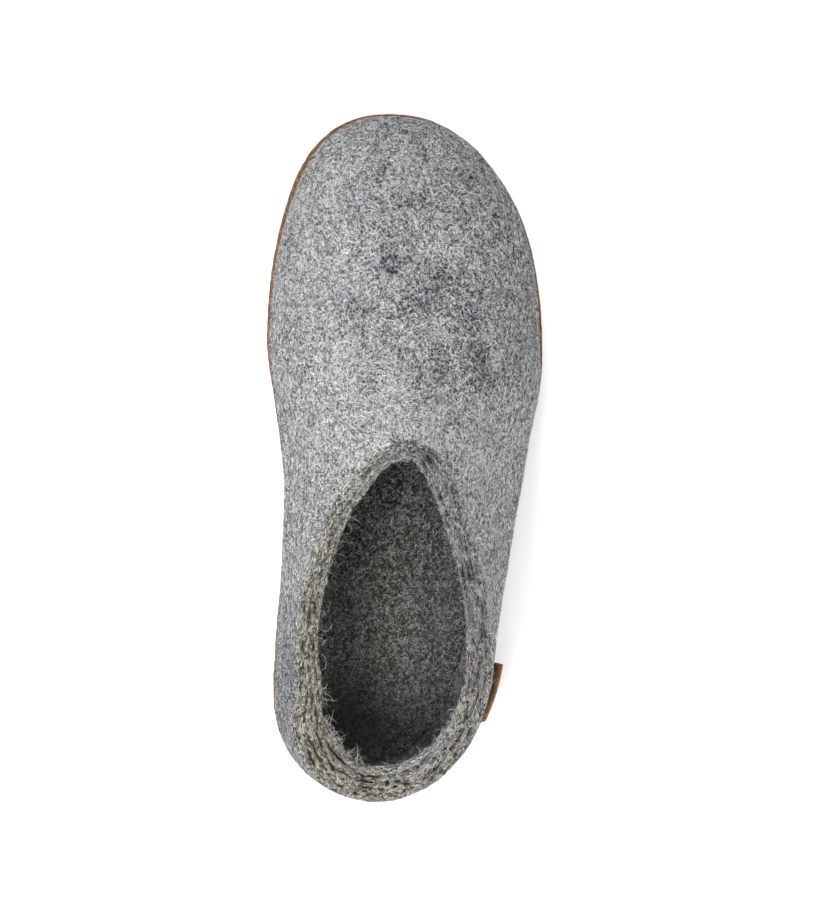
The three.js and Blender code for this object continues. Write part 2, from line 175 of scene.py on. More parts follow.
# The folded tab, as in the CAD source, and how finely it is drawn. The end rows are rounded: a share
# of the tab's length, and how much smaller the row is.
TAB_LENGTH = 22
TAB_HEIGHT = 14
TAB_LEATHER = 1.1
TAB_SLOT = 0.5
TAB_PLACE = 0.147
TAB_BEDDING = 0.35
TAB_STAND_OFF = 2.6
TAB_REAR_STAND_OFF = 3
TAB_ROUND_OVER = TAB_LEATHER + TAB_SLOT / 2
TAB_STEPS = 46
TAB_UPRIGHT_POINTS = 15
TAB_FOLD_POINTS = 17
TAB_ENDS = ((0, 0.35), (0.006, 0.12))

MEDIAL = -1
LATERAL = 1
SEED = 11


def column(table, names, name):
    """A smooth curve through one column of a table, for arrays of shares."""
    at = np.array([row[0] for row in table])
    value = np.array([row[names.index(name)] for row in table])
    last = len(at) - 1
    ahead = np.minimum(last, np.arange(last + 1) + 1)
    behind = np.maximum(0, np.arange(last + 1) - 1)
    slope = (value[ahead] - value[behind]) / (at[ahead] - at[behind])

    def smooth(share):
        x = np.clip(share, at[0], at[last])
        i = np.clip(np.searchsorted(at, x, side="left") - 1, 0, last - 1)
        h = at[i + 1] - at[i]
        t = (x - at[i]) / h
        rise = 3 * t ** 2 - 2 * t ** 3
        start = (t ** 3 - 2 * t ** 2 + t) * h * slope[i]
        end = (t ** 3 - t ** 2) * h * slope[i + 1]
        return (1 - rise) * value[i] + start + rise * value[i + 1] + end

    return smooth


section = {name: column(SECTIONS, SECTION_NAMES, name) for name in SECTION_NAMES[1:]}
collar_rise = column(COLLAR, COLLAR_NAMES, "rise")
collar_drop = column(COLLAR, COLLAR_NAMES, "drop")


def share_of(y):
    return (y - HEEL_END) / SOLE_LENGTH


def ramp(value, start, end):
    """0 at the start, 1 at the end and beyond it, and even in between. The end may be the lower one."""
    return np.clip((value - start) / (end - start), 0, 1)


def collar_height(y):
    return BACK_HEIGHT + (INSTEP_HEIGHT - BACK_HEIGHT) * collar_rise(share_of(y))


def rounded(distance, length, fullness):
    """0 at the tip, 1 once the distance reaches the length over which an end is rounded."""
    left = np.clip(1 - distance / length, 0, 1)
    return (1 - left ** fullness) ** (1 / fullness)


def turned_in(height, full_height):
    """The quarter round that turns a wall in: 1 at its bottom, 0 at its full height."""
    left = np.clip(1 - np.maximum(height, 0) / full_height, 0, 1)
    return 1 - np.sqrt(1 - left ** 2)


def lift(y):
    """How far the slipper rises from the ground at a place: under the arch and at the toe."""
    s = share_of(y)
    arch = ramp(s, ARCH_START, ARCH_END)
    toe = np.maximum(0, (s - SPRING_START) / (1 - SPRING_START))
    return ARCH_LIFT * (0.5 - 0.5 * np.cos(2 * np.pi * arch)) + TOE_SPRING * toe ** 2


def half_section(s, side, ends, inset):
    middle = (section["centre"](s) - section["ridge"](s)) * BALL_WIDTH
    half = section["width"](s) / 2 * BALL_WIDTH - inset
    return np.maximum(0, ends * half + side * middle * (1 - (1 - ends) ** 2))


def sole_edge(y, side, inset):
    """The outsole's outline on one side, inset evenly."""
    s = share_of(y)
    toe = rounded(TOE_END - inset - y, TOE_ROUND - inset, TOE_FULLNESS)
    heel = rounded(y - HEEL_END - inset, HEEL_ROUND - inset, HEEL_FULLNESS)
    return section["ridge"](s) * BALL_WIDTH + side * half_section(s, side, toe * heel, inset)


def curled(z):
    """The outside's inset at a height: the felt turns in towards the sole."""
    return BOTTOM_CURL * turned_in(z - BASE, CURL_HEIGHT)


def plain(z):
    return np.zeros_like(z)


def half_width(inset_at, y, z, side):
    """Half the felt's width at a place and height, measured from the ridge line."""
    s = share_of(y)
    inset = inset_at(z)
    from_toe = TOE_END - SOLE_LIP - inset - y
    lean = BACK_LEAN * (np.maximum(0, z - BASE) / BACK_HEIGHT) ** 2
    from_heel = y - HEEL_END - SOLE_LIP / 2 - inset - lean
    top = (section["crown"](s) * INSTEP_HEIGHT - BASE) * rounded(from_toe, TOE_DROP, DROP_FULLNESS)
    closed = (from_toe <= 0) | (from_heel <= 0) | (z - BASE >= top)
    lip = np.where(side < 0, section["lip_medial"](s), section["lip_lateral"](s)) * SOLE_LIP
    fullness = np.where(side < 0, section["medial"](s), section["lateral"](s))
    level = np.clip(np.maximum(0, z - BASE) / np.maximum(top, 1e-6), 0, 1)
    arch = (1 - level ** fullness) ** (1 / fullness)
    toe = rounded(from_toe, TOE_ROUND - inset, TOE_FULLNESS)
    heel = rounded(from_heel, HEEL_ROUND - inset, HEEL_FULLNESS)
    half = arch * half_section(s, side, toe * heel, lip + inset)
    return np.where(closed, 0.0, half)


def leave(inset_at, start, direction):
    """Where rays from inside the felt's form leave it."""
    near = np.zeros(len(start))
    far = np.full(len(start), float(SOLE_LENGTH))
    for _ in range(BISECTIONS):
        middle = (near + far) / 2
        p = start + direction * middle[:, None]
        ridge = section["ridge"](share_of(p[:, 1])) * BALL_WIDTH
        side = np.where(p[:, 0] < ridge, MEDIAL, LATERAL)
        half = half_width(inset_at, p[:, 1], p[:, 2], side)
        within = (p[:, 2] > BASE) & (np.abs(p[:, 0] - ridge) < half)
        near = np.where(within, middle, near)
        far = np.where(within, far, middle)
    return start + direction * near[:, None]


def rib_order():
    """Stations and sides of the ribs round the slipper: heel, medial side, toe, lateral side."""
    along = (1 - np.cos(np.pi * np.arange(STATIONS + 1) / STATIONS)) / 2
    shares = np.concatenate([along, along[1:-1][::-1]])
    sides = np.concatenate([np.full(STATIONS + 1, MEDIAL), np.full(STATIONS - 1, LATERAL)])
    return shares, sides


def ribs(inset_at, beyond):
    """All ribs of a form, from its bottom to so far beyond the collar: an array of rib, step, xyz."""
    shares, sides = rib_order()
    bottom = np.full(len(shares), float(BASE))
    inset = inset_at(bottom)
    low = HEEL_END + SOLE_LIP / 2 + inset
    high = TOE_END - SOLE_LIP - inset
    y = low + shares * (high - low)
    ridge = section["ridge"](share_of(y)) * BALL_WIDTH
    foot = np.stack([ridge + sides * half_width(inset_at, y, bottom, sides), y, bottom], 1)
    pivot = np.stack([np.zeros_like(y), np.clip(y, FAN_BACK, FAN_FRONT), np.full_like(y, FAN_HEIGHT)], 1)
    level = foot - pivot
    level[:, 2] = 0
    reach = np.linalg.norm(level, axis=1)
    level /= reach[:, None]
    lowest = np.arctan2(BASE - FAN_HEIGHT, reach)

    def at(angle, which):
        ray = level[which] * np.cos(angle)[:, None]
        ray[:, 2] = np.sin(angle)
        return leave(inset_at, pivot[which], ray)

    every = np.arange(len(y))
    under = lowest.copy()
    over = np.full(len(y), np.pi / 2)
    for _ in range(BISECTIONS):
        middle = (under + over) / 2
        p = at(middle, every)
        short = p[:, 2] < collar_height(p[:, 1]) + beyond
        under = np.where(short, middle, under)
        over = np.where(short, over, middle)
    steps = np.arange(1, RIB_STEPS + 1) / RIB_STEPS
    angles = lowest[:, None] + (under - lowest)[:, None] * steps[None, :]
    which = np.repeat(every, RIB_STEPS)
    points = at(angles.ravel(), which).reshape(len(y), RIB_STEPS, 3)
    return np.concatenate([foot[:, None, :], points], 1)


def wall_at(p):
    """The felt's thickness: more towards the collar, and most round the back of the heel."""
    s = share_of(p[..., 1])
    heel = np.maximum(0, 1 - s / HEEL_PADDING) ** 2
    near_rim = np.clip(1 - (collar_height(p[..., 1]) - p[..., 2]) / RIM_THICKENING, 0, 1)
    away = ((p[..., :2] - np.array(CORNER_PAD_PLACE)) ** 2).sum(-1)
    corner = np.exp(-away / CORNER_PAD_REACH ** 2)
    rim_wall = RIM_WALL + (HEEL_WALL - RIM_WALL) * heel + CORNER_PAD * corner
    return FELT_WALL + (rim_wall - FELT_WALL) * near_rim


def normals_of(grid):
    """Outward normals of a grid of rib, step, xyz whose ribs close round."""
    across = np.roll(grid, -1, 0) - np.roll(grid, 1, 0)
    along = np.empty_like(grid)
    along[:, 1:-1] = grid[:, 2:] - grid[:, :-2]
    along[:, 0] = grid[:, 1] - grid[:, 0]
    along[:, -1] = grid[:, -1] - grid[:, -2]
    normal = np.cross(along, across)
    return normal / np.maximum(np.linalg.norm(normal, axis=2, keepdims=True), 1e-9)


def cut_between(curve, start_level, end_level):
    """The stretch of one curve between two places where a level passes zero."""
    first = int(np.argmax(start_level > 0))
    last = int(np.argmax(end_level > 0))
    t = start_level[first - 1] / (start_level[first - 1] - start_level[first])
    u = end_level[last - 1] / (end_level[last - 1] - end_level[last])
    begin = curve[first - 1] + (curve[first] - curve[first - 1]) * t
    finish = curve[last - 1] + (curve[last] - curve[last - 1]) * u
    return np.concatenate([[begin], curve[first:last], [finish]])


def inward_of(points):
    """Level directions from points towards the slipper's middle line."""
    middle_y = np.clip(points[..., 1], MIDLINE_BACK, MIDLINE_FRONT)
    inward = np.stack([-points[..., 0], middle_y - points[..., 1]], -1)
    return inward / np.linalg.norm(inward, axis=-1, keepdims=True)


def draw_in(p):
    """Moves points near the felt floor inwards, so that wall and floor meet in a rounded corner."""
    cup = HEEL_CUP + (TOE_CUP - HEEL_CUP) * ramp(share_of(p[:, 1]), 0, CUP_CHANGE)
    moved = p.copy()
    moved[:, :2] += inward_of(p) * (cup * turned_in(p[:, 2] - FLOOR, CUP_HEIGHT))[:, None]
    return moved


def inner_ribs():
    """The felt's inner sheet: the plain form's ribs set off inwards by the wall."""
    outer = ribs(plain, RIM_REACH)
    sheet = outer - normals_of(outer) * wall_at(outer)[..., None]
    curves = []
    for curve in sheet:
        edge_height = collar_height(curve[:, 1]) - collar_drop(share_of(curve[:, 1])) * FELT_WALL
        curves.append(draw_in(cut_between(curve, curve[:, 2] - FLOOR, curve[:, 2] - edge_height)))
    return curves


def spread(curve, count):
    """Points evenly along a curve."""
    steps = np.linalg.norm(np.diff(curve, axis=0), axis=1)
    travelled = np.concatenate([[0], np.cumsum(steps)])
    goals = np.linspace(0, travelled[-1], count + 1)
    return np.stack([np.interp(goals, travelled, curve[:, i]) for i in range(3)], 1)


def lifted(points):
    raised = points.copy()
    raised[..., 2] += lift(points[..., 1])
    return raised


def smooth_noise(points, size, octaves=2):
    """Soft noise at points, from about -1 to 1, with lumps of a size in millimetres."""
    flat = points.reshape(-1, 3) / size
    values = [noise.fractal(Vector(p), 0.6, 2.0, octaves) for p in flat]
    return np.array(values).reshape(points.shape[:-1])


def lumps(points, table):
    """How high hand-felted lumps rise at points, from a table of their heights and sizes."""
    return sum(row["height"] * smooth_noise(points, row["size"]) for row in table)


# Soft troughs where the felt has been bent in wear. middle: a point of the surface in millimetres.
# along: the trough's direction. half_length and half_width give its reach, depth how far it sinks.
CREASES = (
    {"middle": (-22, 22, 62), "along": (0.5, 1, -0.2), "half_length": 26, "half_width": 8, "depth": 0.9},
    {"middle": (34, 26, 55), "along": (-0.3, 1, 0.2), "half_length": 24, "half_width": 9, "depth": 0.8},
    {"middle": (8, 62, 55), "along": (1, 0.15, 0), "half_length": 30, "half_width": 10, "depth": 0.5},
    {"middle": (-37, -40, 32), "along": (0, 1, 0.4), "half_length": 30, "half_width": 7, "depth": 0.6},
    {"middle": (44, -42, 34), "along": (0, 1, 0.4), "half_length": 30, "half_width": 8, "depth": 0.6},
    {"middle": (20, 88, 48), "along": (1, -0.6, 0), "half_length": 22, "half_width": 9, "depth": 0.4},
)


def crease_depth(points):
    total = np.zeros(points.shape[:-1])
    for crease in CREASES:
        along = np.array(crease["along"], float)
        along /= np.linalg.norm(along)
        away = points - np.array(crease["middle"], float)
        run = away @ along
        off = np.linalg.norm(away - run[..., None] * along, axis=-1)
        fade = np.exp(-(run / crease["half_length"]) ** 2 - (off / crease["half_width"]) ** 2)
        total += crease["depth"] * fade
    return total


# The slits between the felt's layers on the cut rim, which the felt's material paints near-black as
# painted shade. place: share of the way from the outer to the inner edge. wander: how far a slit strays,
# as such a share. turn: where its noise starts.
RIM_SLITS = (
    {"place": 0.03, "wander": 0.03, "turn": 160},
    {"place": 0.18, "wander": 0.08, "turn": 0},
    {"place": 0.36, "wander": 0.11, "turn": 37},
    {"place": 0.55, "wander": 0.11, "turn": 81},
    {"place": 0.74, "wander": 0.09, "turn": 122},
)
# Where the photographed rim gapes most: a point in plan, and how far round it a slit is opened.
RIM_OPENINGS = (
    {"place": (25, -44.5), "reach": 5},
    {"place": (29, -86.5), "reach": 3.5},
    {"place": (-29, -111), "reach": 4},
    {"place": (-20, -114), "reach": 5},
    {"place": (-9, -121), "reach": 4},
    {"place": (-39, -98), "reach": 3},
    {"place": (8, -2), "reach": 4},
)
# A gaping stretch starts and ends softly, and is so much wider, as a share, where it gapes most
GAPE_PEAK = 1.5
GAPE_START = 0.2
GAPE_WIDENING = 0.35

# Slits, the valleys round them and the ridges of the layers between them, in millimetres
RIM_SLIT_WIDTH = 0.5
RIM_SLIT_DEPTH = 2.6
RIM_VALLEY_WIDTH = 0.7
RIM_VALLEY_DEPTH = 0.35
RIM_RIDGE = 0.3

# The noise along the rim is read on a circle, at heights of its own for each slit and layer. A slit
# strays in long waves and is open in short patches.
RIM_NOISE_RADIUS = 60
SLIT_WAVE_SIZE = 16
SLIT_PATCH_SIZE = 4.5
SLIT_PATCH_TURN = 15
SLIT_PATCH_GAIN = 3.6
SLIT_PATCH_START = 0.1
LAYER_SIZE = 6
LAYER_TURN = 200
LAYER_TURN_STEP = 3.75


def gape_at(points):
    """How far the rim gapes at points: 1 in the middle of a listed opening, 0 away from it."""
    gape = np.zeros(len(points))
    for opening in RIM_OPENINGS:
        off = np.linalg.norm(points[:, :2] - np.array(opening["place"]), axis=1)
        near = GAPE_PEAK * np.exp(-(off / opening["reach"]) ** 2) - GAPE_START
        gape = np.maximum(gape, np.clip(near, 0, 1))
    return gape


def slit_traces(outer_edge, chord, ring):
    """For each slit its place across the rim, how far it is open, and its width, all for each rib."""
    traces = []
    for slit in RIM_SLITS:
        waves = smooth_noise(ring + (0, 0, slit["turn"]), SLIT_WAVE_SIZE)
        patches = smooth_noise(ring + (0, 0, slit["turn"] + SLIT_PATCH_TURN), SLIT_PATCH_SIZE)
        middle = slit["place"] + waves * slit["wander"]
        gape = gape_at(outer_edge + chord * middle[:, None])
        opened = np.maximum(np.clip(patches * SLIT_PATCH_GAIN - SLIT_PATCH_START, 0, 1), gape)
        traces.append((middle, opened, RIM_SLIT_WIDTH * (1 + GAPE_WIDENING * gape)))
    return traces


def rim_rings(outer_edge, inner_edge):
    """The cut rim's rings between its two edges, and how far each point lies in a slit."""
    chord = inner_edge - outer_edge
    round_the_rim = np.roll(outer_edge, -1, 0) - np.roll(outer_edge, 1, 0)
    up = np.cross(chord, round_the_rim)
    up /= np.linalg.norm(up, axis=1, keepdims=True)
    up *= np.sign(up[:, 2:3])
    step = np.linalg.norm(np.roll(outer_edge, -1, 0) - outer_edge, axis=1)
    turn = np.concatenate([[0], np.cumsum(step)[:-1]]) / step.sum() * 2 * np.pi
    ring = np.stack([np.cos(turn), np.sin(turn), np.zeros_like(turn)], 1) * RIM_NOISE_RADIUS
    width = np.linalg.norm(chord, axis=1)
    traces = slit_traces(outer_edge, chord, ring)
    rings = []
    depths = []
    for place in np.linspace(0, 1, RIM_RINGS + 2)[1:-1]:
        slit = np.zeros(len(turn))
        valley = np.zeros(len(turn))
        for middle, opened, slit_width in traces:
            off = (place - middle) * width
            slit = np.maximum(slit, opened * np.exp(-(off / slit_width) ** 2))
            valley = np.maximum(valley, np.exp(-(off / RIM_VALLEY_WIDTH) ** 2))
        layer_turn = LAYER_TURN + LAYER_TURN_STEP * place * width.mean()
        layer = smooth_noise(ring + (0, 0, layer_turn), LAYER_SIZE) * RIM_RIDGE
        height = RIM_CROWN - RIM_SLIT_DEPTH * slit - RIM_VALLEY_DEPTH * valley + layer
        height *= np.sin(np.pi * place) ** 0.5
        rings.append(outer_edge + chord * place + up * height[:, None])
        depths.append(slit)
    return np.stack(rings, 1), np.stack(depths, 1)


def felt_grid():
    """The whole felt surface as one grid of rib, ring, xyz, with each ring's area, the floor rings
    for the insole, and how far each point lies in a slit of the rim."""
    wall = np.stack([spread(curve, WALL_RINGS) for curve in ribs(curled, 0)])
    beds = []
    linings = []
    for curve in inner_ribs():
        bed = [curve[0]]
        for share_up in BED_STEPS[1:]:
            level = FLOOR + share_up * INSOLE_THICKNESS
            i = int(np.argmax(curve[:, 2] > level))
            share = (level - curve[i - 1, 2]) / (curve[i, 2] - curve[i - 1, 2])
            bed.append(curve[i - 1] + (curve[i] - curve[i - 1]) * share)
        beds.append(bed)
        linings.append(spread(np.concatenate([[bed[-1]], curve[i:]]), LINING_RINGS)[::-1])
    beds = np.array(beds)
    lining = np.stack(linings)
    rim, depths = rim_rings(wall[:, -1], lining[:, 0])
    grid = np.concatenate([wall, rim, lining, beds[:, :-1][:, ::-1]], 1)
    first_rim = WALL_RINGS + 1
    after_rim = first_rim + RIM_RINGS
    slit = np.zeros(grid.shape[:2])
    slit[:, first_rim:after_rim] = depths
    zone = np.full(grid.shape[1], WALL)
    zone[first_rim:after_rim] = RIM
    zone[after_rim:] = LINING
    return grid, zone, beds, slit


def soften(grid, zone):
    """Gives the felt its uneven hand-felted surface: lumps, creases and the swell over the sole."""
    normal = normals_of(grid)
    z = grid[..., 2]
    on_wall = zone == WALL
    strength = np.array(LUMP_STRENGTHS)[zone]
    bumpy = lumps(grid, FELT_LUMPS) * strength - crease_depth(grid) * on_wall
    bumpy *= ramp(z, FLOOR, FLOOR + LEVEL_NEAR_FLOOR)
    low = ramp(z - BASE, *PROUD_GROWS) * ramp(z, *PROUD_FADES)
    proud = FELT_PROUD * low * on_wall * np.clip(PROUD_TURN - normal[..., 0], 0, 1)
    sideways = np.linalg.norm(normal[..., :2], axis=-1)
    around_toe = ramp(grid[..., 1], *TOE_DRAWN_GROWS) * on_wall * sideways
    around_toe *= np.clip(TOE_DRAWN_TURN + normal[..., 0], TOE_DRAWN_LEAST, 1)
    return grid + normal * (bumpy + proud - TOE_DRAWN_IN * around_toe)[..., None]


def quads_of(round_count, rings):
    """Corner numbers of a grid's faces, wound so that the felt faces outwards."""
    k, r = np.meshgrid(np.arange(round_count), np.arange(rings - 1), indexing="ij")
    after = (k + 1) % round_count
    a = k * rings + r
    b = after * rings + r
    return np.stack([a, a + 1, b + 1, b], -1).reshape(-1, 4)


def without_repeats(corners):
    return [corner for i, corner in enumerate(corners) if corner not in corners[:i]]


def strip_quads(round_count, rings, ring, upward):
    """A flat floor from side to side across one ring of a grid."""
    faces = []
    for j in range(round_count // 2):
        across = (j, j + 1, (round_count - j - 1) % round_count, (round_count - j) % round_count)
        face = [corner * rings + ring for corner in without_repeats(across)]
        faces.append(face[::-1] if upward else face)
    return faces


def build_mesh(name, points, faces, tint=None):
    """A mesh object from arrays in millimetres; tint is a colour for each point."""
    mesh = bpy.data.meshes.new(name)
    if isinstance(faces, np.ndarray):
        counts = np.full(len(faces), faces.shape[1])
        corners = faces.ravel()
    else:
        counts = np.array([len(face) for face in faces])
        corners = np.concatenate(faces)
    mesh.vertices.add(len(points))
    mesh.vertices.foreach_set("co", (points * MM).astype(np.float32).ravel())
    mesh.loops.add(len(corners))
    mesh.loops.foreach_set("vertex_index", corners.astype(np.int32))
    mesh.polygons.add(len(counts))
    starts = np.concatenate([[0], np.cumsum(counts)[:-1]])
    mesh.polygons.foreach_set("loop_start", starts.astype(np.int32))
    mesh.polygons.foreach_set("use_smooth", np.ones(len(counts), bool))
    mesh.update(calc_edges=True)
    mesh.validate()
    if tint is not None:
        layer = mesh.color_attributes.new("tint", "FLOAT_COLOR", "POINT")
        rgba = np.concatenate([tint, np.ones((len(tint), 1))], 1).astype(np.float32)
        layer.data.foreach_set("color", rgba.ravel())
    obj = bpy.data.objects.new(name, mesh)
    bpy.context.scene.collection.objects.link(obj)
    return obj


def outline_rings(levels, outline):
    """Rings round the slipper at given levels, each a height and an inset, from a plan outline."""
    shares, sides = rib_order()
    rings = []
    for z, inset in levels:
        y = HEEL_END + inset + shares * (SOLE_LENGTH - 2 * inset)
        x = outline(y, sides, inset)
        rings.append(np.stack([x, y, np.full_like(y, z)], 1))
    return np.stack(rings, 1)


def closed_piece(name, grid, tint=None):
    """A closed body from a grid whose first ring is its underside and whose last ring is its top."""
    count, rings = grid.shape[:2]
    faces = [list(face) for face in quads_of(count, rings)]
    faces += strip_quads(count, rings, 0, False)
    faces += strip_quads(count, rings, rings - 1, True)
    colours = None if tint is None else tint.reshape(-1, 3)
    return build_mesh(name, grid.reshape(-1, 3), faces, colours)


def make_upper():
    """The felt body, with its grid, areas, floor rings and slits for what lies on it."""
    grid, zone, beds, slit = felt_grid()
    grid = lifted(soften(grid, zone))
    zones = np.broadcast_to(zone, grid.shape[:2])
    # The tint carries the slits, painted near-black as painted shade, and the rim and lining areas
    tint = np.stack([slit, zones == RIM, zones == LINING], -1).astype(float)
    return closed_piece("felt_upper", grid, tint), grid, zone, beds, slit


def insole_top_faces(count, rings):
    """Faces of the insole's gridded top: its edge is the body's last ring, its inner points follow."""
    half = count // 2
    rows = np.arange(half + 1)
    numbers = np.empty((half + 1, BED_COLUMNS), int)
    numbers[:] = (rows * rings + rings - 1)[:, None]
    numbers[1:-1, -1] = (count - rows[1:-1]) * rings + rings - 1
    inner = np.arange((half - 1) * (BED_COLUMNS - 2))
    numbers[1:-1, 1:-1] = count * rings + inner.reshape(half - 1, BED_COLUMNS - 2)
    faces = []
    for row, after in zip(numbers[:-1].tolist(), numbers[1:].tolist()):
        for col in range(BED_COLUMNS - 1):
            faces.append(without_repeats([row[col], row[col + 1], after[col + 1], after[col]]))
    return [face for face in faces if len(face) > 2]


def make_insole(beds):
    """The insole, and the sheet of its top side on which its fibres lie."""
    raised = beds.copy()
    raised[..., 2] += FIT_GAP
    raised[..., :2] += inward_of(raised) * INSOLE_EDGE_GAP
    raised = lifted(raised)
    count, rings = raised.shape[:2]
    half = count // 2
    top = raised[:, -1]
    medial_edge = top[:half + 1]
    lateral_edge = np.concatenate([top[:1], top[half:][::-1]])
    column_number = np.arange(BED_COLUMNS)
    across = (column_number / (BED_COLUMNS - 1))[None, :, None]
    sheet = medial_edge[:, None] * (1 - across) + lateral_edge[:, None] * across
    from_edge = np.minimum(column_number, column_number[::-1])
    inside = np.minimum(1, from_edge / BED_EDGE_COLUMNS)
    sheet[..., 2] += (lumps(sheet, INSOLE_LUMPS) - INSOLE_WORN) * inside
    faces = [list(face) for face in quads_of(count, rings)]
    faces += strip_quads(count, rings, 0, False)
    faces += insole_top_faces(count, rings)
    points = np.concatenate([raised.reshape(-1, 3), sheet[1:-1, 1:-1].reshape(-1, 3)])
    return build_mesh("felt_insole", points, faces), sheet


def make_outsole():
    """The leather sole with its rough cut edge."""
    grid = outline_rings(SOLE_EDGE_STEPS, sole_edge)
    rough = lumps(grid, EDGE_ROUGHNESS) - EDGE_WORN
    grid[..., :2] -= inward_of(grid) * rough[..., None]
    return closed_piece("leather_outsole", lifted(grid))


def tab_profile(shrink):
    """The folded tab's section: two leaves joined by a fold at the top, each point across and up."""
    straight = TAB_HEIGHT - TAB_ROUND_OVER
    ups = np.linspace(0, 1, TAB_UPRIGHT_POINTS) ** 2 * straight
    angles = np.pi * np.linspace(0, 1, TAB_FOLD_POINTS)
    outer = TAB_ROUND_OVER - shrink
    inner = TAB_SLOT / 2 + shrink
    points = [(outer, max(up, shrink)) for up in ups[:-1]]
    points += [(outer * math.cos(a), straight + outer * math.sin(a)) for a in angles]
    points += [(-outer, max(up, shrink)) for up in ups[:-1][::-1]]
    points += [(-inner, max(up, shrink)) for up in ups[:-1]]
    points += [(inner * math.cos(a), straight + inner * math.sin(a)) for a in angles[::-1]]
    points += [(inner, max(up, shrink)) for up in ups[:-1][::-1]]
    return np.array(points)


def on_grid(grid, at):
    """Points, steps across and along, and outward normals at places of a grid."""
    count, rings = grid.shape[:2]
    k = np.floor(at[:, 0]).astype(int)
    r = np.clip(np.floor(at[:, 1]).astype(int), 0, rings - 2)
    u = (at[:, 0] - k)[:, None]
    v = np.clip(at[:, 1] - r, 0, 1)[:, None]
    a, b = grid[k % count, r], grid[(k + 1) % count, r]
    c, d = grid[k % count, r + 1], grid[(k + 1) % count, r + 1]
    across = (b - a) * (1 - v) + (d - c) * v
    along = (c - a) * (1 - u) + (d - b) * u
    normal = np.cross(along, across)
    normal /= np.maximum(np.linalg.norm(normal, axis=1, keepdims=True), 1e-9)
    return (a * (1 - u) + b * u) * (1 - v) + (c * (1 - u) + d * u) * v, across, along, normal


def scattered(grid, weight, count, rng):
    """Random places on a grid, as many per area as the weight of each of its cells asks for."""
    across = np.roll(grid, -1, 0) - grid
    along = grid[:, 1:] - grid[:, :-1]
    area = np.linalg.norm(np.cross(across[:, :-1], along), axis=2)
    share = np.cumsum((area * weight[:, :-1]).ravel())
    cell = np.searchsorted(share, rng.random(count) * share[-1])
    k, r = np.divmod(cell, grid.shape[1] - 1)
    return np.stack([k + rng.random(count), r + rng.random(count)], 1)


def tangent(along, normal, heading):
    """The direction on the surface at an angle from the way up a rib."""
    first = along / np.maximum(np.linalg.norm(along, axis=1, keepdims=True), 1e-9)
    second = np.cross(normal, first)
    return first * np.cos(heading)[:, None] + second * np.sin(heading)[:, None]


def walked(at, across, along, step):
    """Places on a grid after a step given in space."""
    kk = np.einsum("ij,ij->i", across, across)
    kr = np.einsum("ij,ij->i", across, along)
    rr = np.einsum("ij,ij->i", along, along)
    ks = np.einsum("ij,ij->i", across, step)
    rs = np.einsum("ij,ij->i", along, step)
    det = np.maximum(kk * rr - kr * kr, 1e-9)
    return at + np.stack([(ks * rr - rs * kr) / det, (rs * kk - ks * kr) / det], 1)


# A fibre's points keep at least this far above the felt, and a walk ends this far before a grid's end
LEAST_HEIGHT = 0.03
END_MARGIN = 0.001


def fibre_strips(grid, at, heading, looks, rng, goes_round=True):
    """Flat curly strips lying on a felt surface: fibre, point along it, side of it, xyz."""
    count = len(at)
    taper = looks["taper"]
    steps = len(taper) - 1
    length = rng.uniform(*looks["length"], count)
    width = rng.uniform(*looks["width"], count)
    height = rng.uniform(*looks["height"], count)
    curl = rng.normal(0, looks["curl"], count)
    tilt = rng.normal(0, looks["tilt"], count)
    strips = np.zeros((count, len(taper), 2, 3))
    for i, narrowing in enumerate(taper):
        place, across, along, normal = on_grid(grid, at)
        way = tangent(along, normal, heading)
        side = np.cross(normal, way)
        side = side * np.cos(tilt)[:, None] + normal * np.sin(tilt)[:, None]
        rise = rng.normal(0, looks["rise"], count)
        middle = place + normal * np.maximum(LEAST_HEIGHT, height + rise)[:, None]
        half = width * narrowing / 2
        strips[:, i, 0] = middle - side * half[:, None]
        strips[:, i, 1] = middle + side * half[:, None]
        at = walked(at, across, along, way * (length / steps)[:, None])
        at[:, 1] = np.clip(at[:, 1], 0, grid.shape[1] - 1)
        if not goes_round:
            at[:, 0] = np.clip(at[:, 0], 0, grid.shape[0] - 1 - END_MARGIN)
        heading = heading + curl + rng.normal(0, looks["kink"], count)
    return strips


# On the bake map a fibre is a tiny patch at its tone and warmth, which span nearly the whole map
BAKE_PATCH = 0.001
BAKE_MARGIN = 0.02
BAKE_SPAN = 0.95


def fibre_piece(name, batches):
    """One mesh of fibres from batches of strips, tones and warmths, its bake map laid out by colour."""
    points = []
    faces = []
    palette = []
    layout = []
    total = 0
    for strips, tone, warmth in batches:
        count, steps = strips.shape[:2]
        corner = np.arange(steps - 1)[None, :, None] * 2 + np.array([0, 1, 3, 2])[None, None, :]
        faces.append(((np.arange(count) * steps * 2)[:, None, None] + corner).reshape(-1, 4) + total)
        points.append(strips.reshape(-1, 3))
        palette.append(np.repeat(np.stack([tone, warmth, np.zeros(count)], 1), steps * 2, 0))
        patch = np.array([(BAKE_PATCH * (i % 2), BAKE_PATCH * (i // 2)) for i in range(steps * 2)])
        spots = BAKE_MARGIN + BAKE_SPAN * np.stack([tone, warmth], 1)
        layout.append((spots[:, None, :] + patch[None, :, :]).reshape(-1, 2))
        total += count * steps * 2
    fibres = build_mesh(name, np.concatenate(points), np.concatenate(faces), np.concatenate(palette))
    layout = np.concatenate(layout)
    corners = np.zeros(len(fibres.data.loops), np.int32)
    fibres.data.loops.foreach_get("vertex_index", corners)
    uv = fibres.data.uv_layers.new(name="OFBake")
    uv.uv.foreach_set("vector", layout[corners].astype(np.float32).ravel())
    return fibres
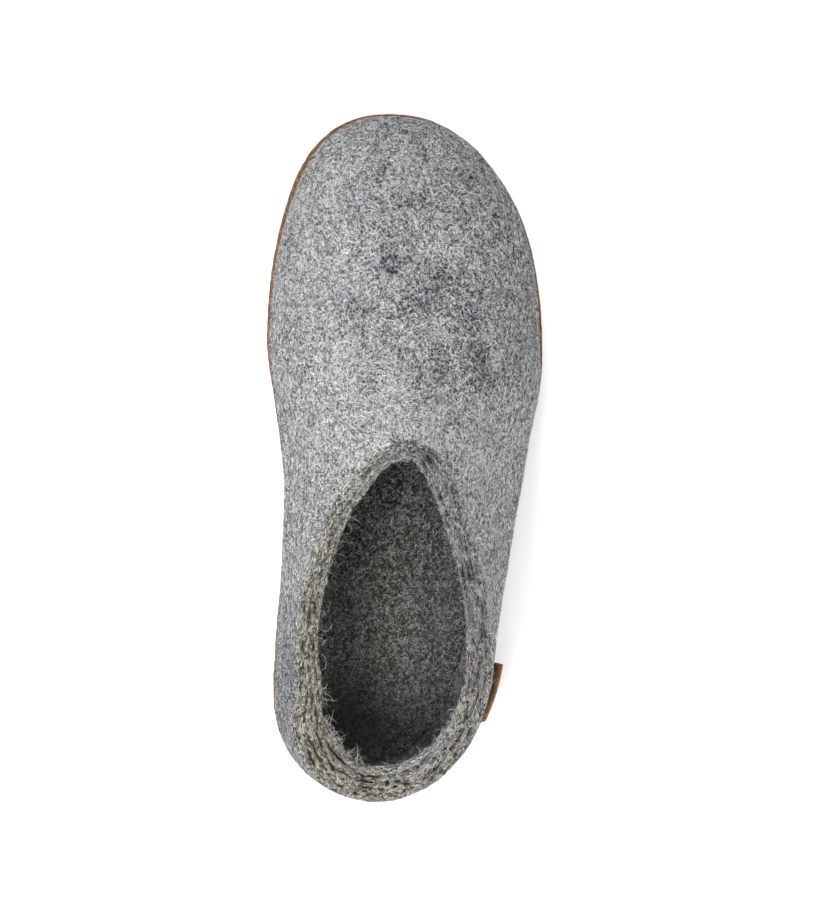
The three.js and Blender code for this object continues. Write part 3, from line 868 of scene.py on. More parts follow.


# Darker, cooler spots in the felt and, with a negative strength, paler ones, by where they lie in plan.
# Most are the wool's own mottling, but the wide dark spot beside the inner heel is painted shade and the
# pale spot on the outer side by the instep is painted light.
WOOL_MOTTLING_AND_PAINTED_SHADING = (
    {"place": (-4.6, 69), "radius": 5, "strength": 0.62},
    {"place": (5.9, 53), "radius": 5.5, "strength": 0.45},
    {"place": (15, 62), "radius": 4.5, "strength": 0.4},
    {"place": (26, 49), "radius": 6.5, "strength": 0.42},
    {"place": (29, 28), "radius": 6.5, "strength": 0.5},
    {"place": (-16, 50), "radius": 6, "strength": 0.3},
    {"place": (12, 30), "radius": 7, "strength": 0.3},
    {"place": (6, 92), "radius": 5, "strength": 0.3},
    {"place": (-2, 10), "radius": 24, "strength": -0.26},
    {"place": (36, -2), "radius": 20, "strength": -0.16},
    {"place": (-42, -84), "radius": 32, "strength": 0.22},
)


# The soft cloud under the spots, and the height from which the spots show
MOTTLE_CLOUD = {"size": 8, "octaves": 3, "strength": 0.22, "least": -0.16, "most": 0.2}
WOOL_MOTTLING_AND_PAINTED_SHADING_FROM = 25


def mottled(points):
    """How dark and cool the felt is made at points: spots over a soft cloud, one painted shade, one painted
    light.
    """
    cloud = smooth_noise(points, MOTTLE_CLOUD["size"], MOTTLE_CLOUD["octaves"])
    total = np.clip(cloud * MOTTLE_CLOUD["strength"], MOTTLE_CLOUD["least"], MOTTLE_CLOUD["most"])
    for spot in WOOL_MOTTLING_AND_PAINTED_SHADING:
        off = points[:, :2] - np.array(spot["place"])
        far = np.linalg.norm(off, axis=1) / spot["radius"]
        total += spot["strength"] * np.exp(-far ** 2) * (points[:, 2] > WOOL_MOTTLING_AND_PAINTED_SHADING_FROM)
    return total


# The tones of light and dark fibres from 0, black, to 1, white, and how contrast moves and spreads them
LIGHT_WOOL = {"tone": 0.53, "moved": 0.13, "spread": 0.08, "widened": 0.09}
DARK_WOOL = {"tone": 0.19, "moved": -0.15, "spread": 0.04}


def wool_tones(count, rng, dark_share, dim, contrast):
    """Tones of single fibres: mostly light wool with dark fibres mixed in."""
    light_spread = LIGHT_WOOL["spread"] + LIGHT_WOOL["widened"] * contrast
    light = rng.normal(LIGHT_WOOL["tone"] + LIGHT_WOOL["moved"] * contrast, light_spread, count)
    dark = rng.normal(DARK_WOOL["tone"] + DARK_WOOL["moved"] * contrast, DARK_WOOL["spread"], count)
    tone = np.where(rng.random(count) < dark_share, dark, light)
    return np.clip(tone * dim, 0, 1)


# How the fibres of each area look, in millimetres and radians. taper: the width at each point along.
SHORT_FIBRES = {"taper": (0.9, 0.6), "length": (0.8, 1.9), "width": (0.12, 0.2), "height": (0.03, 0.35),
                "curl": 0, "kink": 0, "tilt": 0.4, "rise": 0.08}
WALL_CURLS = {"taper": (0.6, 1.0, 0.5), "length": (1.6, 3.2), "width": (0.1, 0.16), "height": (0.15, 0.5),
              "curl": 0.6, "kink": 0.35, "tilt": 0.35, "rise": 0.1}
RIM_SHORTS = {"taper": (0.9, 0.6), "length": (0.7, 1.7), "width": (0.11, 0.19), "height": (0.03, 0.4),
              "curl": 0, "kink": 0, "tilt": 0.55, "rise": 0.12}
RIM_CURLS = {"taper": (0.55, 1.0, 0.45), "length": (1.2, 2.4), "width": (0.11, 0.17), "height": (0.05, 0.5),
             "curl": 0.5, "kink": 0.5, "tilt": 0.6, "rise": 0.12}
HEM_FIBRES = {"taper": (0.7, 0.9, 0.4), "length": (1.0, 2.2), "width": (0.13, 0.2), "height": (0.1, 0.6),
              "curl": 0.5, "kink": 0.4, "tilt": 0.5, "rise": 0.2}

# The areas of fibres on the outside of the felt: their stretch along the slipper, and how many.
WALL_AREAS = (
    {"name": "toe_fibres", "from": 52, "to": 200, "short": 62000, "curls": 13000, "hem": 1600},
    {"name": "instep_fibres", "from": -12, "to": 52, "short": 63000, "curls": 13500, "hem": 1100},
    {"name": "quarter_fibres", "from": -200, "to": -12, "short": 62000, "curls": 13000, "hem": 1600},
)


# The wool on the outside. It is darker in the spots. Painted shade darkens it on the inner side, more so
# beside the inner heel, and gives the outer forefoot more dark fibres. Its greater contrast on the outer
# side is painted light, the grazing light caught by its fibres. speck is the share of straw-coloured
# fibres.
WALL_WOOL = {
    "dark_share": 0.39,
    "painted_shade_outer": 0.09,
    "dark_spots": 0.5,
    "dark_range": (0.05, 0.9),
    "dim_spots": 0.25,
    "painted_shade_inner": 0.07,
    "painted_shade_inner_heel": 0.3,
    "contrast": 1.15,
    "painted_light_contrast_outer": 0.5,
    "warmth": 0.22,
    "warmth_cloud": 0.13,
    "warmth_cloud_size": 10,
    "warmth_spread": 0.12,
    "warmth_spots": 0.4,
    "warmest": 0.9,
    "speck": 0.001,
    "speck_tone": 0.4,
}
PALEST_SPOT = -0.2
OUTER_TURN = 0.3
INNER_HEEL_GROWS = (-35, -85)
FOREFOOT_GROWS = (5, 35)
WARMTH_CLOUD_SHIFT = (50, 0, 0)

# On the sides more fibres run up or down, and those at the hem hang down, each with its stray in radians
UPRIGHT_SHARE = 0.6
UPRIGHT_STRAY = 0.55
HEM_STRAY = 0.7


def either_way(count, rng):
    """Half a turn for half of the fibres."""
    return np.pi * (rng.random(count) < 0.5)


def wall_batch(grid, weight, count, looks, rng, droop=False):
    """Strips, tones and warmths of fibres on the outside of the felt."""
    at = scattered(grid, weight, count, rng)
    place, _, _, normal = on_grid(grid, at)
    upright = rng.normal(0, UPRIGHT_STRAY, count) + either_way(count, rng)
    stands = rng.random(count) < UPRIGHT_SHARE * (1 - normal[:, 2])
    heading = np.where(stands, upright, rng.uniform(0, 2 * np.pi, count))
    if droop:
        heading = np.pi + rng.normal(0, HEM_STRAY, count)
    wool = WALL_WOOL
    spots = mottled(place)
    # Painted shade on the inner side, the inner heel and the outer forefoot; painted light in the outer
    # side's contrast
    outer = np.clip(normal[:, 0] + OUTER_TURN, 0, 1)
    inner = np.clip(-normal[:, 0], 0, 1)
    inner_heel = inner * ramp(place[:, 1], *INNER_HEEL_GROWS)
    outer_forefoot = outer * ramp(place[:, 1], *FOREFOOT_GROWS)
    dark_share = wool["dark_share"] + wool["painted_shade_outer"] * outer_forefoot + wool["dark_spots"] * spots
    dim = 1 - wool["dim_spots"] * np.clip(spots, 0, 1)
    dim -= wool["painted_shade_inner"] * inner + wool["painted_shade_inner_heel"] * inner_heel
    contrast = wool["contrast"] + wool["painted_light_contrast_outer"] * outer
    tone = wool_tones(count, rng, np.clip(dark_share, *wool["dark_range"]), dim, contrast)
    cloud = smooth_noise(place + WARMTH_CLOUD_SHIFT, wool["warmth_cloud_size"])
    warmth = wool["warmth"] + wool["warmth_cloud"] * cloud + rng.normal(0, wool["warmth_spread"], count)
    warmth = np.clip(warmth - wool["warmth_spots"] * np.clip(spots, PALEST_SPOT, 1), 0, wool["warmest"])
    speck = rng.random(count) < wool["speck"]
    tone = np.where(speck, wool["speck_tone"], tone)
    return fibre_strips(grid, at, heading, looks, rng), tone, np.where(speck, 1.0, warmth)


# The fibres of the rim, the lining and the insole. stray: how far their headings stray from the way
# round the slipper. dark_share, dim, warmth and contrast set their tones.
COAT_NAMES = ("count", "looks", "stray", "dark_share", "dim", "warmth", "contrast")
RIM_COATS = (
    (40000, RIM_SHORTS, 0.45, 0.48, 0.79, 0.55, 1.3),
    (12000, RIM_CURLS, 0.55, 0.46, 0.83, 0.57, 1.3),
)
LINING_COATS = (
    (24000, SHORT_FIBRES, 3, 0.5, 0.5, 0.12, 1.8),
    (8000, WALL_CURLS, 3, 0.45, 0.6, 0.12, 1.8),
)
INSOLE_COATS = (
    (24000, SHORT_FIBRES, 3, 0.42, 0.68, 0.45, 1.5),
    (8000, RIM_CURLS, 3, 0.38, 0.73, 0.48, 1.5),
)
WARMTH_SPREAD = 0.12


def felt_batches(grid, weight, coats, toning, rng, goes_round=True):
    """For each coat the strips, tones and warmths of its fibres on the rim, the lining or the insole.

    toning gives for each place a factor on the tone and an addition to the warmth.
    """
    batches = []
    for row in coats:
        coat = dict(zip(COAT_NAMES, row))
        count = coat["count"]
        at = scattered(grid, weight, count, rng)
        heading = np.pi / 2 + rng.normal(0, coat["stray"], count) + either_way(count, rng)
        factor, warmer = toning(on_grid(grid, at)[0])
        tone = wool_tones(count, rng, coat["dark_share"], coat["dim"] * factor, coat["contrast"])
        warmth = np.clip(rng.normal(coat["warmth"], WARMTH_SPREAD, count) + warmer, 0, 1)
        strips = fibre_strips(grid, at, heading, coat["looks"], rng, goes_round)
        batches.append((strips, tone, warmth))
    return batches


# Where the cut rim's tone and warmth change. Its darkening along the outer side, at the front and at the
# back of the outer heel is painted shade; its changes of warmth are the wool's own colour. x, y, z: from
# where to where the change grows to its full strength. tone: the change of the tone, as a share. warmth:
# what is added to the warmth.
RIM_COLOURS_AND_PAINTED_SHADE = (
    {"x": (-4, 16), "y": (-105, -85), "tone": -0.22, "warmth": -0.2},
    {"y": (-25, 15), "tone": -0.17, "warmth": -0.3},
    {"x": (12, -28), "y": (-40, -80), "tone": -0.04, "warmth": 0.2},
    {"x": (6, 18), "y": (-96, -108), "tone": -0.12, "warmth": 0},
)
# Behind the heel the layers outside an ellipse along the rim's middle are darker and warmer, and
# those inside it lighter and cooler. The very back is lighter.
BEHIND_HEEL = {"y": (-96, -108)}
RIM_MIDDLE = {"place": (-2, -84), "half_sizes": (39, 47), "turns_at": 0.85, "sharpness": 12}
RIM_LAYERS = {"x": (-10, 0), "tone": -0.1, "warmth": 0.2}
RIM_BACK = {"place": -3, "reach": 13, "tone": 0.14}

# Painted light and shade inside, in the same terms: painted shade at the heel and on the outer side's wall
# and floor, painted light towards the front. A painted shadow darkens the heel's inner corner, and painted
# light brightens the felt just under the rim. The wool turns cooler towards the edges listed after them.
INSIDE_PAINTED_LIGHT_AND_SHADE = (
    {"y": (-78, -108), "tone": -0.12},
    {"y": (-45, -15), "tone": 0.4},
    {"x": (18, 30), "z": (12, 20), "tone": -0.42},
    {"x": (6, 20), "tone": -0.32},
)
INSIDE_CORNER_PAINTED_SHADOW = {"place": (-14, -106), "reach": 24, "tone": -0.85}
UNDER_RIM_PAINTED_LIGHT = {"depth": 7, "tone": 0.3}
INSIDE_EDGES = ({"x": (8, 22)}, {"y": (-78, -108)})
INSIDE_EDGE_WARMTH = -0.34


def share_in(points, shade):
    """How far points lie in a shade: 0 before it starts, 1 where it has its full strength."""
    share = np.ones(len(points))
    for axis, name in enumerate("xyz"):
        if name in shade:
            share *= ramp(points[:, axis], *shade[name])
    return share


def rim_colour_and_painted_shade(points):
    """The cut rim: warmest beside the heel's inner corner, cooler and in painted shade along the outer
    side.
    """
    factor = np.ones(len(points))
    warmer = np.zeros(len(points))
    for shade in RIM_COLOURS_AND_PAINTED_SHADE:
        share = share_in(points, shade)
        factor += shade["tone"] * share
        warmer += shade["warmth"] * share
    behind = share_in(points, BEHIND_HEEL)
    off = (points[:, :2] - np.array(RIM_MIDDLE["place"])) / np.array(RIM_MIDDLE["half_sizes"])
    outwards = (np.linalg.norm(off, axis=1) - RIM_MIDDLE["turns_at"]) * RIM_MIDDLE["sharpness"]
    layer = np.clip(outwards, -1, 1) * behind * share_in(points, RIM_LAYERS)
    back = np.exp(-((points[:, 0] - RIM_BACK["place"]) / RIM_BACK["reach"]) ** 2) * behind
    factor += RIM_LAYERS["tone"] * layer + RIM_BACK["tone"] * back
    return factor, warmer + RIM_LAYERS["warmth"] * layer


def inside_warmth_and_painted_shading(points):
    """Inside: painted shadow in the heel's inner corner, other painted light and shade, greyer towards the
    edges.
    """
    off = np.linalg.norm(points[:, :2] - np.array(INSIDE_CORNER_PAINTED_SHADOW["place"]), axis=1)
    factor = 1 + INSIDE_CORNER_PAINTED_SHADOW["tone"] * np.exp(-(off / INSIDE_CORNER_PAINTED_SHADOW["reach"]) ** 2)
    for shade in INSIDE_PAINTED_LIGHT_AND_SHADE:
        factor *= 1 + shade["tone"] * share_in(points, shade)
    under_rim = ramp(collar_height(points[:, 1]) - points[:, 2], UNDER_RIM_PAINTED_LIGHT["depth"], 0)
    factor *= 1 + UNDER_RIM_PAINTED_LIGHT["tone"] * under_rim
    edge = sum(share_in(points, side) for side in INSIDE_EDGES)
    return factor, INSIDE_EDGE_WARMTH * np.clip(edge, 0, 1)


# Where long loose hairs stand out of the felt. from, to: turns round the slipper, from the heel over
# the medial side. ring: the grid's ring they grow from. length in millimetres.
HAIR_TUFTS = (
    {"from": 0.02, "to": 0.14, "ring": WALL_RINGS + RIM_RINGS + 2, "count": 130, "length": (3, 9)},
    {"from": 0.13, "to": 0.24, "ring": WALL_RINGS + RIM_RINGS + 3, "count": 70, "length": (3, 10)},
    {"from": 0.88, "to": 1.0, "ring": WALL_RINGS + RIM_RINGS + 2, "count": 40, "length": (2, 6)},
    {"from": 0.68, "to": 0.86, "ring": WALL_RINGS + RIM_RINGS + 6, "count": 40, "length": (4, 11)},
    {"from": 0.0, "to": 1.0, "ring": WALL_RINGS + RIM_RINGS, "count": 120, "length": (1.5, 4)},
    {"from": 0.0, "to": 1.0, "ring": WALL_RINGS - 2, "count": 120, "length": (1.5, 4)},
)
HAIR_POINTS = 13
HAIR_WIDTH = 0.085
HAIR_TAPER = 0.6

# How loose hairs grow: rings they stray by, how far they splay from the felt's normal, how their axis
# of curling leans upwards, their bend and its changes in radians a point, and how they sag
HAIR_RING_STRAY = 0.8
HAIR_SPLAY = 0.7
HAIR_AXIS_LEAN = (0, 0, 1.2)
HAIR_BEND = 0.34
HAIR_KINK = 0.2
HAIR_SAG = (0, 0, -0.05)
HAIR_TONES = (0.4, 0.9)
HAIR_WARMTHS = (0.1, 0.4)


def unit(vectors):
    return vectors / np.linalg.norm(vectors, axis=1, keepdims=True)


def make_hairs(grid):
    """Long loose curly hairs, most of them over the rim's inner edge beside the heel."""
    rng = np.random.default_rng(SEED + 1)
    batches = []
    for tuft in HAIR_TUFTS:
        count = tuft["count"]
        turn = rng.uniform(tuft["from"], tuft["to"], count) * grid.shape[0]
        ring = tuft["ring"] + rng.normal(0, HAIR_RING_STRAY, count)
        point, _, _, normal = on_grid(grid, np.stack([turn, ring], 1))
        way = unit(normal + rng.normal(0, HAIR_SPLAY, (count, 3)))
        axis = unit(rng.normal(0, 1, (count, 3)) + HAIR_AXIS_LEAN)
        bend = rng.normal(0, HAIR_BEND, count)
        step = rng.uniform(*tuft["length"], count)[:, None] / HAIR_POINTS
        strips = np.zeros((count, HAIR_POINTS, 2, 3))
        for i in range(HAIR_POINTS):
            side = unit(np.cross(way, (0, 0, 1.0)))
            half = HAIR_WIDTH * (1 - HAIR_TAPER * i / HAIR_POINTS) / 2
            strips[:, i, 0] = point - side * half
            strips[:, i, 1] = point + side * half
            point = point + way * step
            angle = (bend + rng.normal(0, HAIR_KINK, count))[:, None]
            way = way * np.cos(angle) + np.cross(axis, way) * np.sin(angle)
            way = unit(way + HAIR_SAG)
        batches.append((strips, rng.uniform(*HAIR_TONES, count), rng.uniform(*HAIR_WARMTHS, count)))
    return fibre_piece("stray_hairs", batches)


# Where fibres lie, and how densely. On the outside they start below the felt's floor and lie thicker
# on top, hem fibres hang over the sole, and where the rim is ragged its fibres spill over its edge.
FIBRES_FROM = FLOOR - 4
HEM_UP_TO = FLOOR + 2
WALL_WEIGHT = 0.55
WALL_WEIGHT_ON_TOP = 0.6
RAGGED_WEIGHT = 0.3
RAGGED_SIZE = 6
SLIT_BARE = 0.98
SLIT_BARE_GAIN = 1.5

# Inside, few lie where little is seen: in the toe, and on the inner side's wall in front of the heel.
# The insole's open sheet is bare in its last rows, where a fibre would run off it.
LINING_TOE = {"from": 5, "weight": 0.12}
LINING_INNER = {"x": 5, "y": -95, "weight": 0.3}
INSOLE_TOE = {"from": 20, "weight": 0.15}
INSOLE_BARE_ROWS = 2


def make_fibres(grid, zone, slit, bed_top):
    """All the wool fibres that lie on the felt, as one piece for each area."""
    rng = np.random.default_rng(SEED)
    up = np.clip(normals_of(grid)[..., 2], 0, 1)
    x, y = grid[..., 0], grid[..., 1]
    height = grid[..., 2] - lift(y)
    outside = (zone == WALL) & (height > FIBRES_FROM)
    pieces = []
    for area in WALL_AREAS:
        part = outside & (y > area["from"]) & (y <= area["to"])
        weight = part * (WALL_WEIGHT + WALL_WEIGHT_ON_TOP * up)
        batches = [
            wall_batch(grid, weight, area["short"], SHORT_FIBRES, rng),
            wall_batch(grid, weight, area["curls"], WALL_CURLS, rng),
            wall_batch(grid, part * (height < HEM_UP_TO), area["hem"], HEM_FIBRES, rng, droop=True),
        ]
        pieces.append(fibre_piece(area["name"], batches))
    spilled = np.arange(grid.shape[1]) == WALL_RINGS - 1
    ragged = RAGGED_WEIGHT * spilled * (smooth_noise(grid[:, WALL_RINGS - 1], RAGGED_SIZE) > 0)[:, None]
    weight = (zone == RIM) * (1 - SLIT_BARE * np.clip(SLIT_BARE_GAIN * slit, 0, 1)) + ragged
    pieces.append(fibre_piece("rim_fibres", felt_batches(grid, weight, RIM_COATS, rim_colour_and_painted_shade, rng)))
    seen = (x > LINING_INNER["x"]) | (y < LINING_INNER["y"])
    behind_toe = np.where(seen, 1.0, LINING_INNER["weight"])
    weight = (zone == LINING) * np.where(y > LINING_TOE["from"], LINING_TOE["weight"], behind_toe)
    batches = felt_batches(grid, weight, LINING_COATS, inside_warmth_and_painted_shading, rng)
    pieces.append(fibre_piece("lining_fibres", batches))
    weight = np.where(bed_top[..., 1] > INSOLE_TOE["from"], INSOLE_TOE["weight"], 1.0)
    weight[-INSOLE_BARE_ROWS:] = 0
    batches = felt_batches(bed_top, weight, INSOLE_COATS, inside_warmth_and_painted_shading, rng, goes_round=False)
    pieces.append(fibre_piece("insole_fibres", batches))
    pieces.append(make_hairs(grid))
    return pieces


def make_tab():
    """The leather tab folded over at the back of the outer side."""
    rows = []
    runs = list(TAB_ENDS) + [(i / TAB_STEPS, 0) for i in range(1, TAB_STEPS)]
    runs += [(1 - run, shrink) for run, shrink in TAB_ENDS[::-1]]
    for run, shrink in runs:
        profile = tab_profile(shrink)
        y = np.full(len(profile), HEEL_END + TAB_PLACE * SOLE_LENGTH + (run - 0.5) * TAB_LENGTH)
        z = BASE + profile[:, 1]
        side = np.full(len(profile), LATERAL)
        felt = section["ridge"](share_of(y)) * BALL_WIDTH + half_width(curled, y, z + TAB_BEDDING, side)
        stand_off = TAB_REAR_STAND_OFF + (TAB_STAND_OFF - TAB_REAR_STAND_OFF) * run
        out = felt + FIT_GAP + TAB_ROUND_OVER + stand_off * profile[:, 1] / TAB_HEIGHT
        rows.append(np.stack([out + profile[:, 0], y, z], 1))
    grid = np.stack(rows)
    count, points = grid.shape[:2]
    faces = []
    for r in range(count - 1):
        for k in range(points):
            after = (k + 1) % points
            a, b = r * points + k, r * points + after
            faces.append([a, a + points, b + points, b])
    last = (count - 1) * points
    for k in range(points // 2 - 1):
        faces.append([k, k + 1, points - 2 - k, points - 1 - k])
        faces.append([last + k, last + points - 1 - k, last + points - 2 - k, last + k + 1])
    return build_mesh("leather_tab", lifted(grid.reshape(-1, 3)), faces)


# Sockets of Blender's colour mix, which shares one node with other kinds of mix
MIX_FIRST = 6
MIX_SECOND = 7
MIX_RESULT = 2


class Nodes:
    """Short ways to add and join nodes in one tree."""

    def __init__(self, tree):
        self.tree = tree

    def add(self, kind, **settings):
        node = self.tree.nodes.new(kind)
        for name, value in settings.items():
            setattr(node, name, value)
        return node

    def join(self, source, target):
        self.tree.links.new(source, target)

    def put(self, given, socket):
        """Joins a socket, or sets a plain value."""
        if isinstance(given, bpy.types.NodeSocket):
            self.join(given, socket)
        else:
            socket.default_value = given

    def value(self, operation, *given):
        node = self.add("ShaderNodeMath", operation=operation)
        for socket, one in zip(node.inputs, given):
            self.put(one, socket)
        return node.outputs[0]

    def blend(self, share, first, second):
        node = self.add("ShaderNodeMix", data_type="RGBA")
        self.put(share, node.inputs["Factor"])
        self.put(first, node.inputs[MIX_FIRST])
        self.put(second, node.inputs[MIX_SECOND])
        return node.outputs[MIX_RESULT]

    def ranged(self, given, low, high, to_low, to_high):
        node = self.add("ShaderNodeMapRange")
        names = ("Value", "From Min", "From Max", "To Min", "To Max")
        for name, one in zip(names, (given, low, high, to_low, to_high)):
            self.put(one, node.inputs[name])
        return node.outputs[0]

    def cloud(self, place, scale, detail=2.0, distortion=0.0, roughness=0.5):
        node = self.add("ShaderNodeTexNoise")
        self.put(place, node.inputs["Vector"])
        node.inputs["Scale"].default_value = scale
        node.inputs["Detail"].default_value = detail
        node.inputs["Distortion"].default_value = distortion
        node.inputs["Roughness"].default_value = roughness
        return node.outputs["Fac"]


def srgb(r, g, b):
    """A colour from 0-255 screen values, as the linear values that shaders take."""
    values = [c / 255 for c in (r, g, b)]
    linear = [v / 12.92 if v <= 0.04045 else ((v + 0.055) / 1.055) ** 2.4 for v in values]
    return (*linear, 1.0)


def new_group(name, inputs, outputs):
    """A node group with a place and other inputs, and its outputs, all but the place plain numbers."""
    group = bpy.data.node_groups.new(name, "ShaderNodeTree")
    group.interface.new_socket("Place", in_out="INPUT", socket_type="NodeSocketVector")
    for socket in inputs:
        group.interface.new_socket(socket, in_out="INPUT", socket_type="NodeSocketFloat")
    for socket in outputs:
        group.interface.new_socket(socket, in_out="OUTPUT", socket_type="NodeSocketFloat")
    n = Nodes(group)
    return group, n, n.add("NodeGroupInput"), n.add("NodeGroupOutput")


# Layers of fibre lines in the felt marl: how fine, how wavy, and where in the noise each one lies
LIGHT_LINES = (
    {"scale": 620, "distortion": 0.9, "shift": (0, 0, 0)},
    {"scale": 900, "distortion": 1.2, "shift": (3.1, 1.7, 0.4)},
    {"scale": 1300, "distortion": 0.8, "shift": (7.3, 2.9, 5.1)},
)
DARK_LINES = (
    {"scale": 700, "distortion": 1.0, "shift": (1.9, 8.2, 3.3)},
    {"scale": 1100, "distortion": 1.1, "shift": (5.7, 4.4, 9.6)},
)
LINE_HALF_WIDTH = 0.05
DARK_LINE_DEPTH = 0.6


def fibre_lines(n, place, layers):
    """The brightest of several layers of thin curly lines, each along the middle value of a noise."""
    lines = None
    for layer in layers:
        moved = n.add("ShaderNodeVectorMath", operation="ADD")
        n.join(place, moved.inputs[0])
        moved.inputs[1].default_value = layer["shift"]
        cloud = n.cloud(moved.outputs[0], layer["scale"], 1.0, layer["distortion"])
        off = n.value("ABSOLUTE", n.value("SUBTRACT", cloud, 0.5))
        line = n.ranged(off, 0.0, LINE_HALF_WIDTH, 1.0, 0.0)
        lines = line if lines is None else n.value("MAXIMUM", lines, line)
    return lines


def fibre_marl_group():
    """Curly fibre lines at a place: light fibres, dark gaps, and a height for the relief."""
    group, n, start, end = new_group("felt marl", (), ("Light", "Dark", "Height", "Mottle"))
    place = start.outputs["Place"]
    light = fibre_lines(n, place, LIGHT_LINES)
    dark = fibre_lines(n, place, DARK_LINES)
    n.join(light, end.inputs["Light"])
    n.join(dark, end.inputs["Dark"])
    height = n.value("SUBTRACT", light, n.value("MULTIPLY", dark, DARK_LINE_DEPTH))
    n.join(height, end.inputs["Height"])
    mottle = n.ranged(n.cloud(place, 70, 3.0, 0.4, 0.55), 0.38, 0.66, 0.0, 1.0)
    n.join(mottle, end.inputs["Mottle"])
    return group


def grain_group():
    """Bare leather's mottled grain at a place: a tone and a height.

    The tone is 0 where the mixed noise is below Low and 1 where it is above High.
    """
    group, n, start, end = new_group("leather grain", ("Low", "High"), ("Tone", "Height"))
    coarse = n.cloud(start.outputs["Place"], 620, 3.0, 0.6, 0.6)
    fine = n.cloud(start.outputs["Place"], 1500, 2.0, 0.2, 0.6)
    mixed = n.value("ADD", n.value("MULTIPLY", coarse, 0.6), n.value("MULTIPLY", fine, 0.4))
    tone = n.ranged(mixed, start.outputs["Low"], start.outputs["High"], 0.0, 1.0)
    n.join(tone, end.inputs["Tone"])
    n.join(n.value("ADD", coarse, n.value("MULTIPLY", fine, 0.5)), end.inputs["Height"])
    return group


def new_material(name):
    material = bpy.data.materials.new(name)
    material.use_nodes = True
    tree = material.node_tree
    tree.nodes.clear()
    n = Nodes(tree)
    shader = n.add("ShaderNodeBsdfPrincipled")
    out = n.add("ShaderNodeOutputMaterial")
    n.join(shader.outputs[0], out.inputs["Surface"])
    return material, n, shader


def use_group(n, group):
    node = n.add("ShaderNodeGroup")
    node.node_tree = group
    place = n.add("ShaderNodeTexCoord")
    n.join(place.outputs["Object"], node.inputs["Place"])
    return node


def relief(n, height, distance, strength, shader):
    bump = n.add("ShaderNodeBump")
    bump.inputs["Distance"].default_value = distance
    bump.inputs["Strength"].default_value = strength
    n.join(height, bump.inputs["Height"])
    n.join(bump.outputs[0], shader.inputs["Normal"])


# How strongly light lines, dark lines and mottles show in a felt's colour
LIGHT_LINE_SHARE = 0.55
DARK_LINE_SHARE = 0.5
MOTTLE_SHARE = 0.15

# The depth in metres and the strength of the relief of felt and of leather
FELT_RELIEF = (0.0004, 0.9)
LEATHER_RELIEF = (0.0003, 0.6)


def felt_tone(n, marl, base, light, dark, mottle):
    """A felt colour: a base with light fibres, dark gaps and cooler mottles over it."""
    colour = n.blend(n.value("MULTIPLY", marl.outputs["Light"], LIGHT_LINE_SHARE), base, light)
    colour = n.blend(n.value("MULTIPLY", marl.outputs["Dark"], DARK_LINE_SHARE), colour, dark)
    return n.blend(n.value("MULTIPLY", marl.outputs["Mottle"], MOTTLE_SHARE), colour, mottle)


def upper_felt_material(marl_group):
    material, n, shader = new_material("pale grey wool felt")
    marl = use_group(n, marl_group)
    outside = felt_tone(n, marl, srgb(68, 69, 72), srgb(128, 128, 131), srgb(32, 33, 37), srgb(54, 57, 66))
    rim = felt_tone(n, marl, srgb(82, 79, 72), srgb(138, 133, 120), srgb(44, 43, 40), srgb(70, 68, 62))
    lining = felt_tone(n, marl, srgb(38, 38, 41), srgb(66, 66, 70), srgb(20, 21, 24), srgb(34, 36, 42))
    zones = n.add("ShaderNodeAttribute", attribute_name="tint")
    parts = n.add("ShaderNodeSeparateColor")
    n.join(zones.outputs["Color"], parts.inputs[0])
    colour = n.blend(parts.outputs[1], outside, rim)
    colour = n.blend(parts.outputs[2], colour, lining)
    # Painted shade: the rim's slits are painted near-black
    colour = n.blend(parts.outputs[0], colour, srgb(14, 13, 12))
    n.join(colour, shader.inputs["Base Color"])
    shader.inputs["Roughness"].default_value = 0.95
    shader.inputs["Specular IOR Level"].default_value = 0.15
    shader.inputs["Sheen Weight"].default_value = 0.25
    shader.inputs["Sheen Roughness"].default_value = 0.6
    relief(n, marl.outputs["Height"], *FELT_RELIEF, shader)
    return material


def fibre_material():
    """Wool fibres, coloured by each fibre's own tone and warmth."""
    material, n, shader = new_material("marled wool fibres")
    palette = n.add("ShaderNodeAttribute", attribute_name="tint")
    parts = n.add("ShaderNodeSeparateColor")
    n.join(palette.outputs["Color"], parts.inputs[0])
    cool = n.blend(parts.outputs[0], srgb(16, 17, 21), srgb(211, 214, 220))
    warm = n.blend(parts.outputs[0], srgb(31, 25, 15), srgb(218, 212, 188))
    n.join(n.blend(parts.outputs[1], cool, warm), shader.inputs["Base Color"])
    shader.inputs["Roughness"].default_value = 0.85
    shader.inputs["Specular IOR Level"].default_value = 0.25
    return material


def insole_felt_material(marl_group):
    material, n, shader = new_material("olive grey insole felt")
    marl = use_group(n, marl_group)
    colour = felt_tone(n, marl, srgb(66, 66, 60), srgb(112, 111, 101), srgb(32, 32, 30), srgb(56, 57, 53))
    n.join(colour, shader.inputs["Base Color"])
    shader.inputs["Roughness"].default_value = 0.97
    shader.inputs["Specular IOR Level"].default_value = 0.12
    relief(n, marl.outputs["Height"], *FELT_RELIEF, shader)
    return material


def leather_material(name, group, dark, light, low, high, rough):
    material, n, shader = new_material(name)
    grain = use_group(n, group)
    grain.inputs["Low"].default_value = low
    grain.inputs["High"].default_value = high
    colour = n.blend(grain.outputs["Tone"], dark, light)
    n.join(colour, shader.inputs["Base Color"])
    shader.inputs["Roughness"].default_value = rough
    shader.inputs["Specular IOR Level"].default_value = 0.3
    relief(n, grain.outputs["Height"], *LEATHER_RELIEF, shader)
    return material


def paper_material():
    material, n, shader = new_material("white studio floor")
    shader.inputs["Base Color"].default_value = (0.97, 0.97, 0.97, 1)
    shader.inputs["Roughness"].default_value = 0.9
    shader.inputs["Specular IOR Level"].default_value = 0.0
    return material


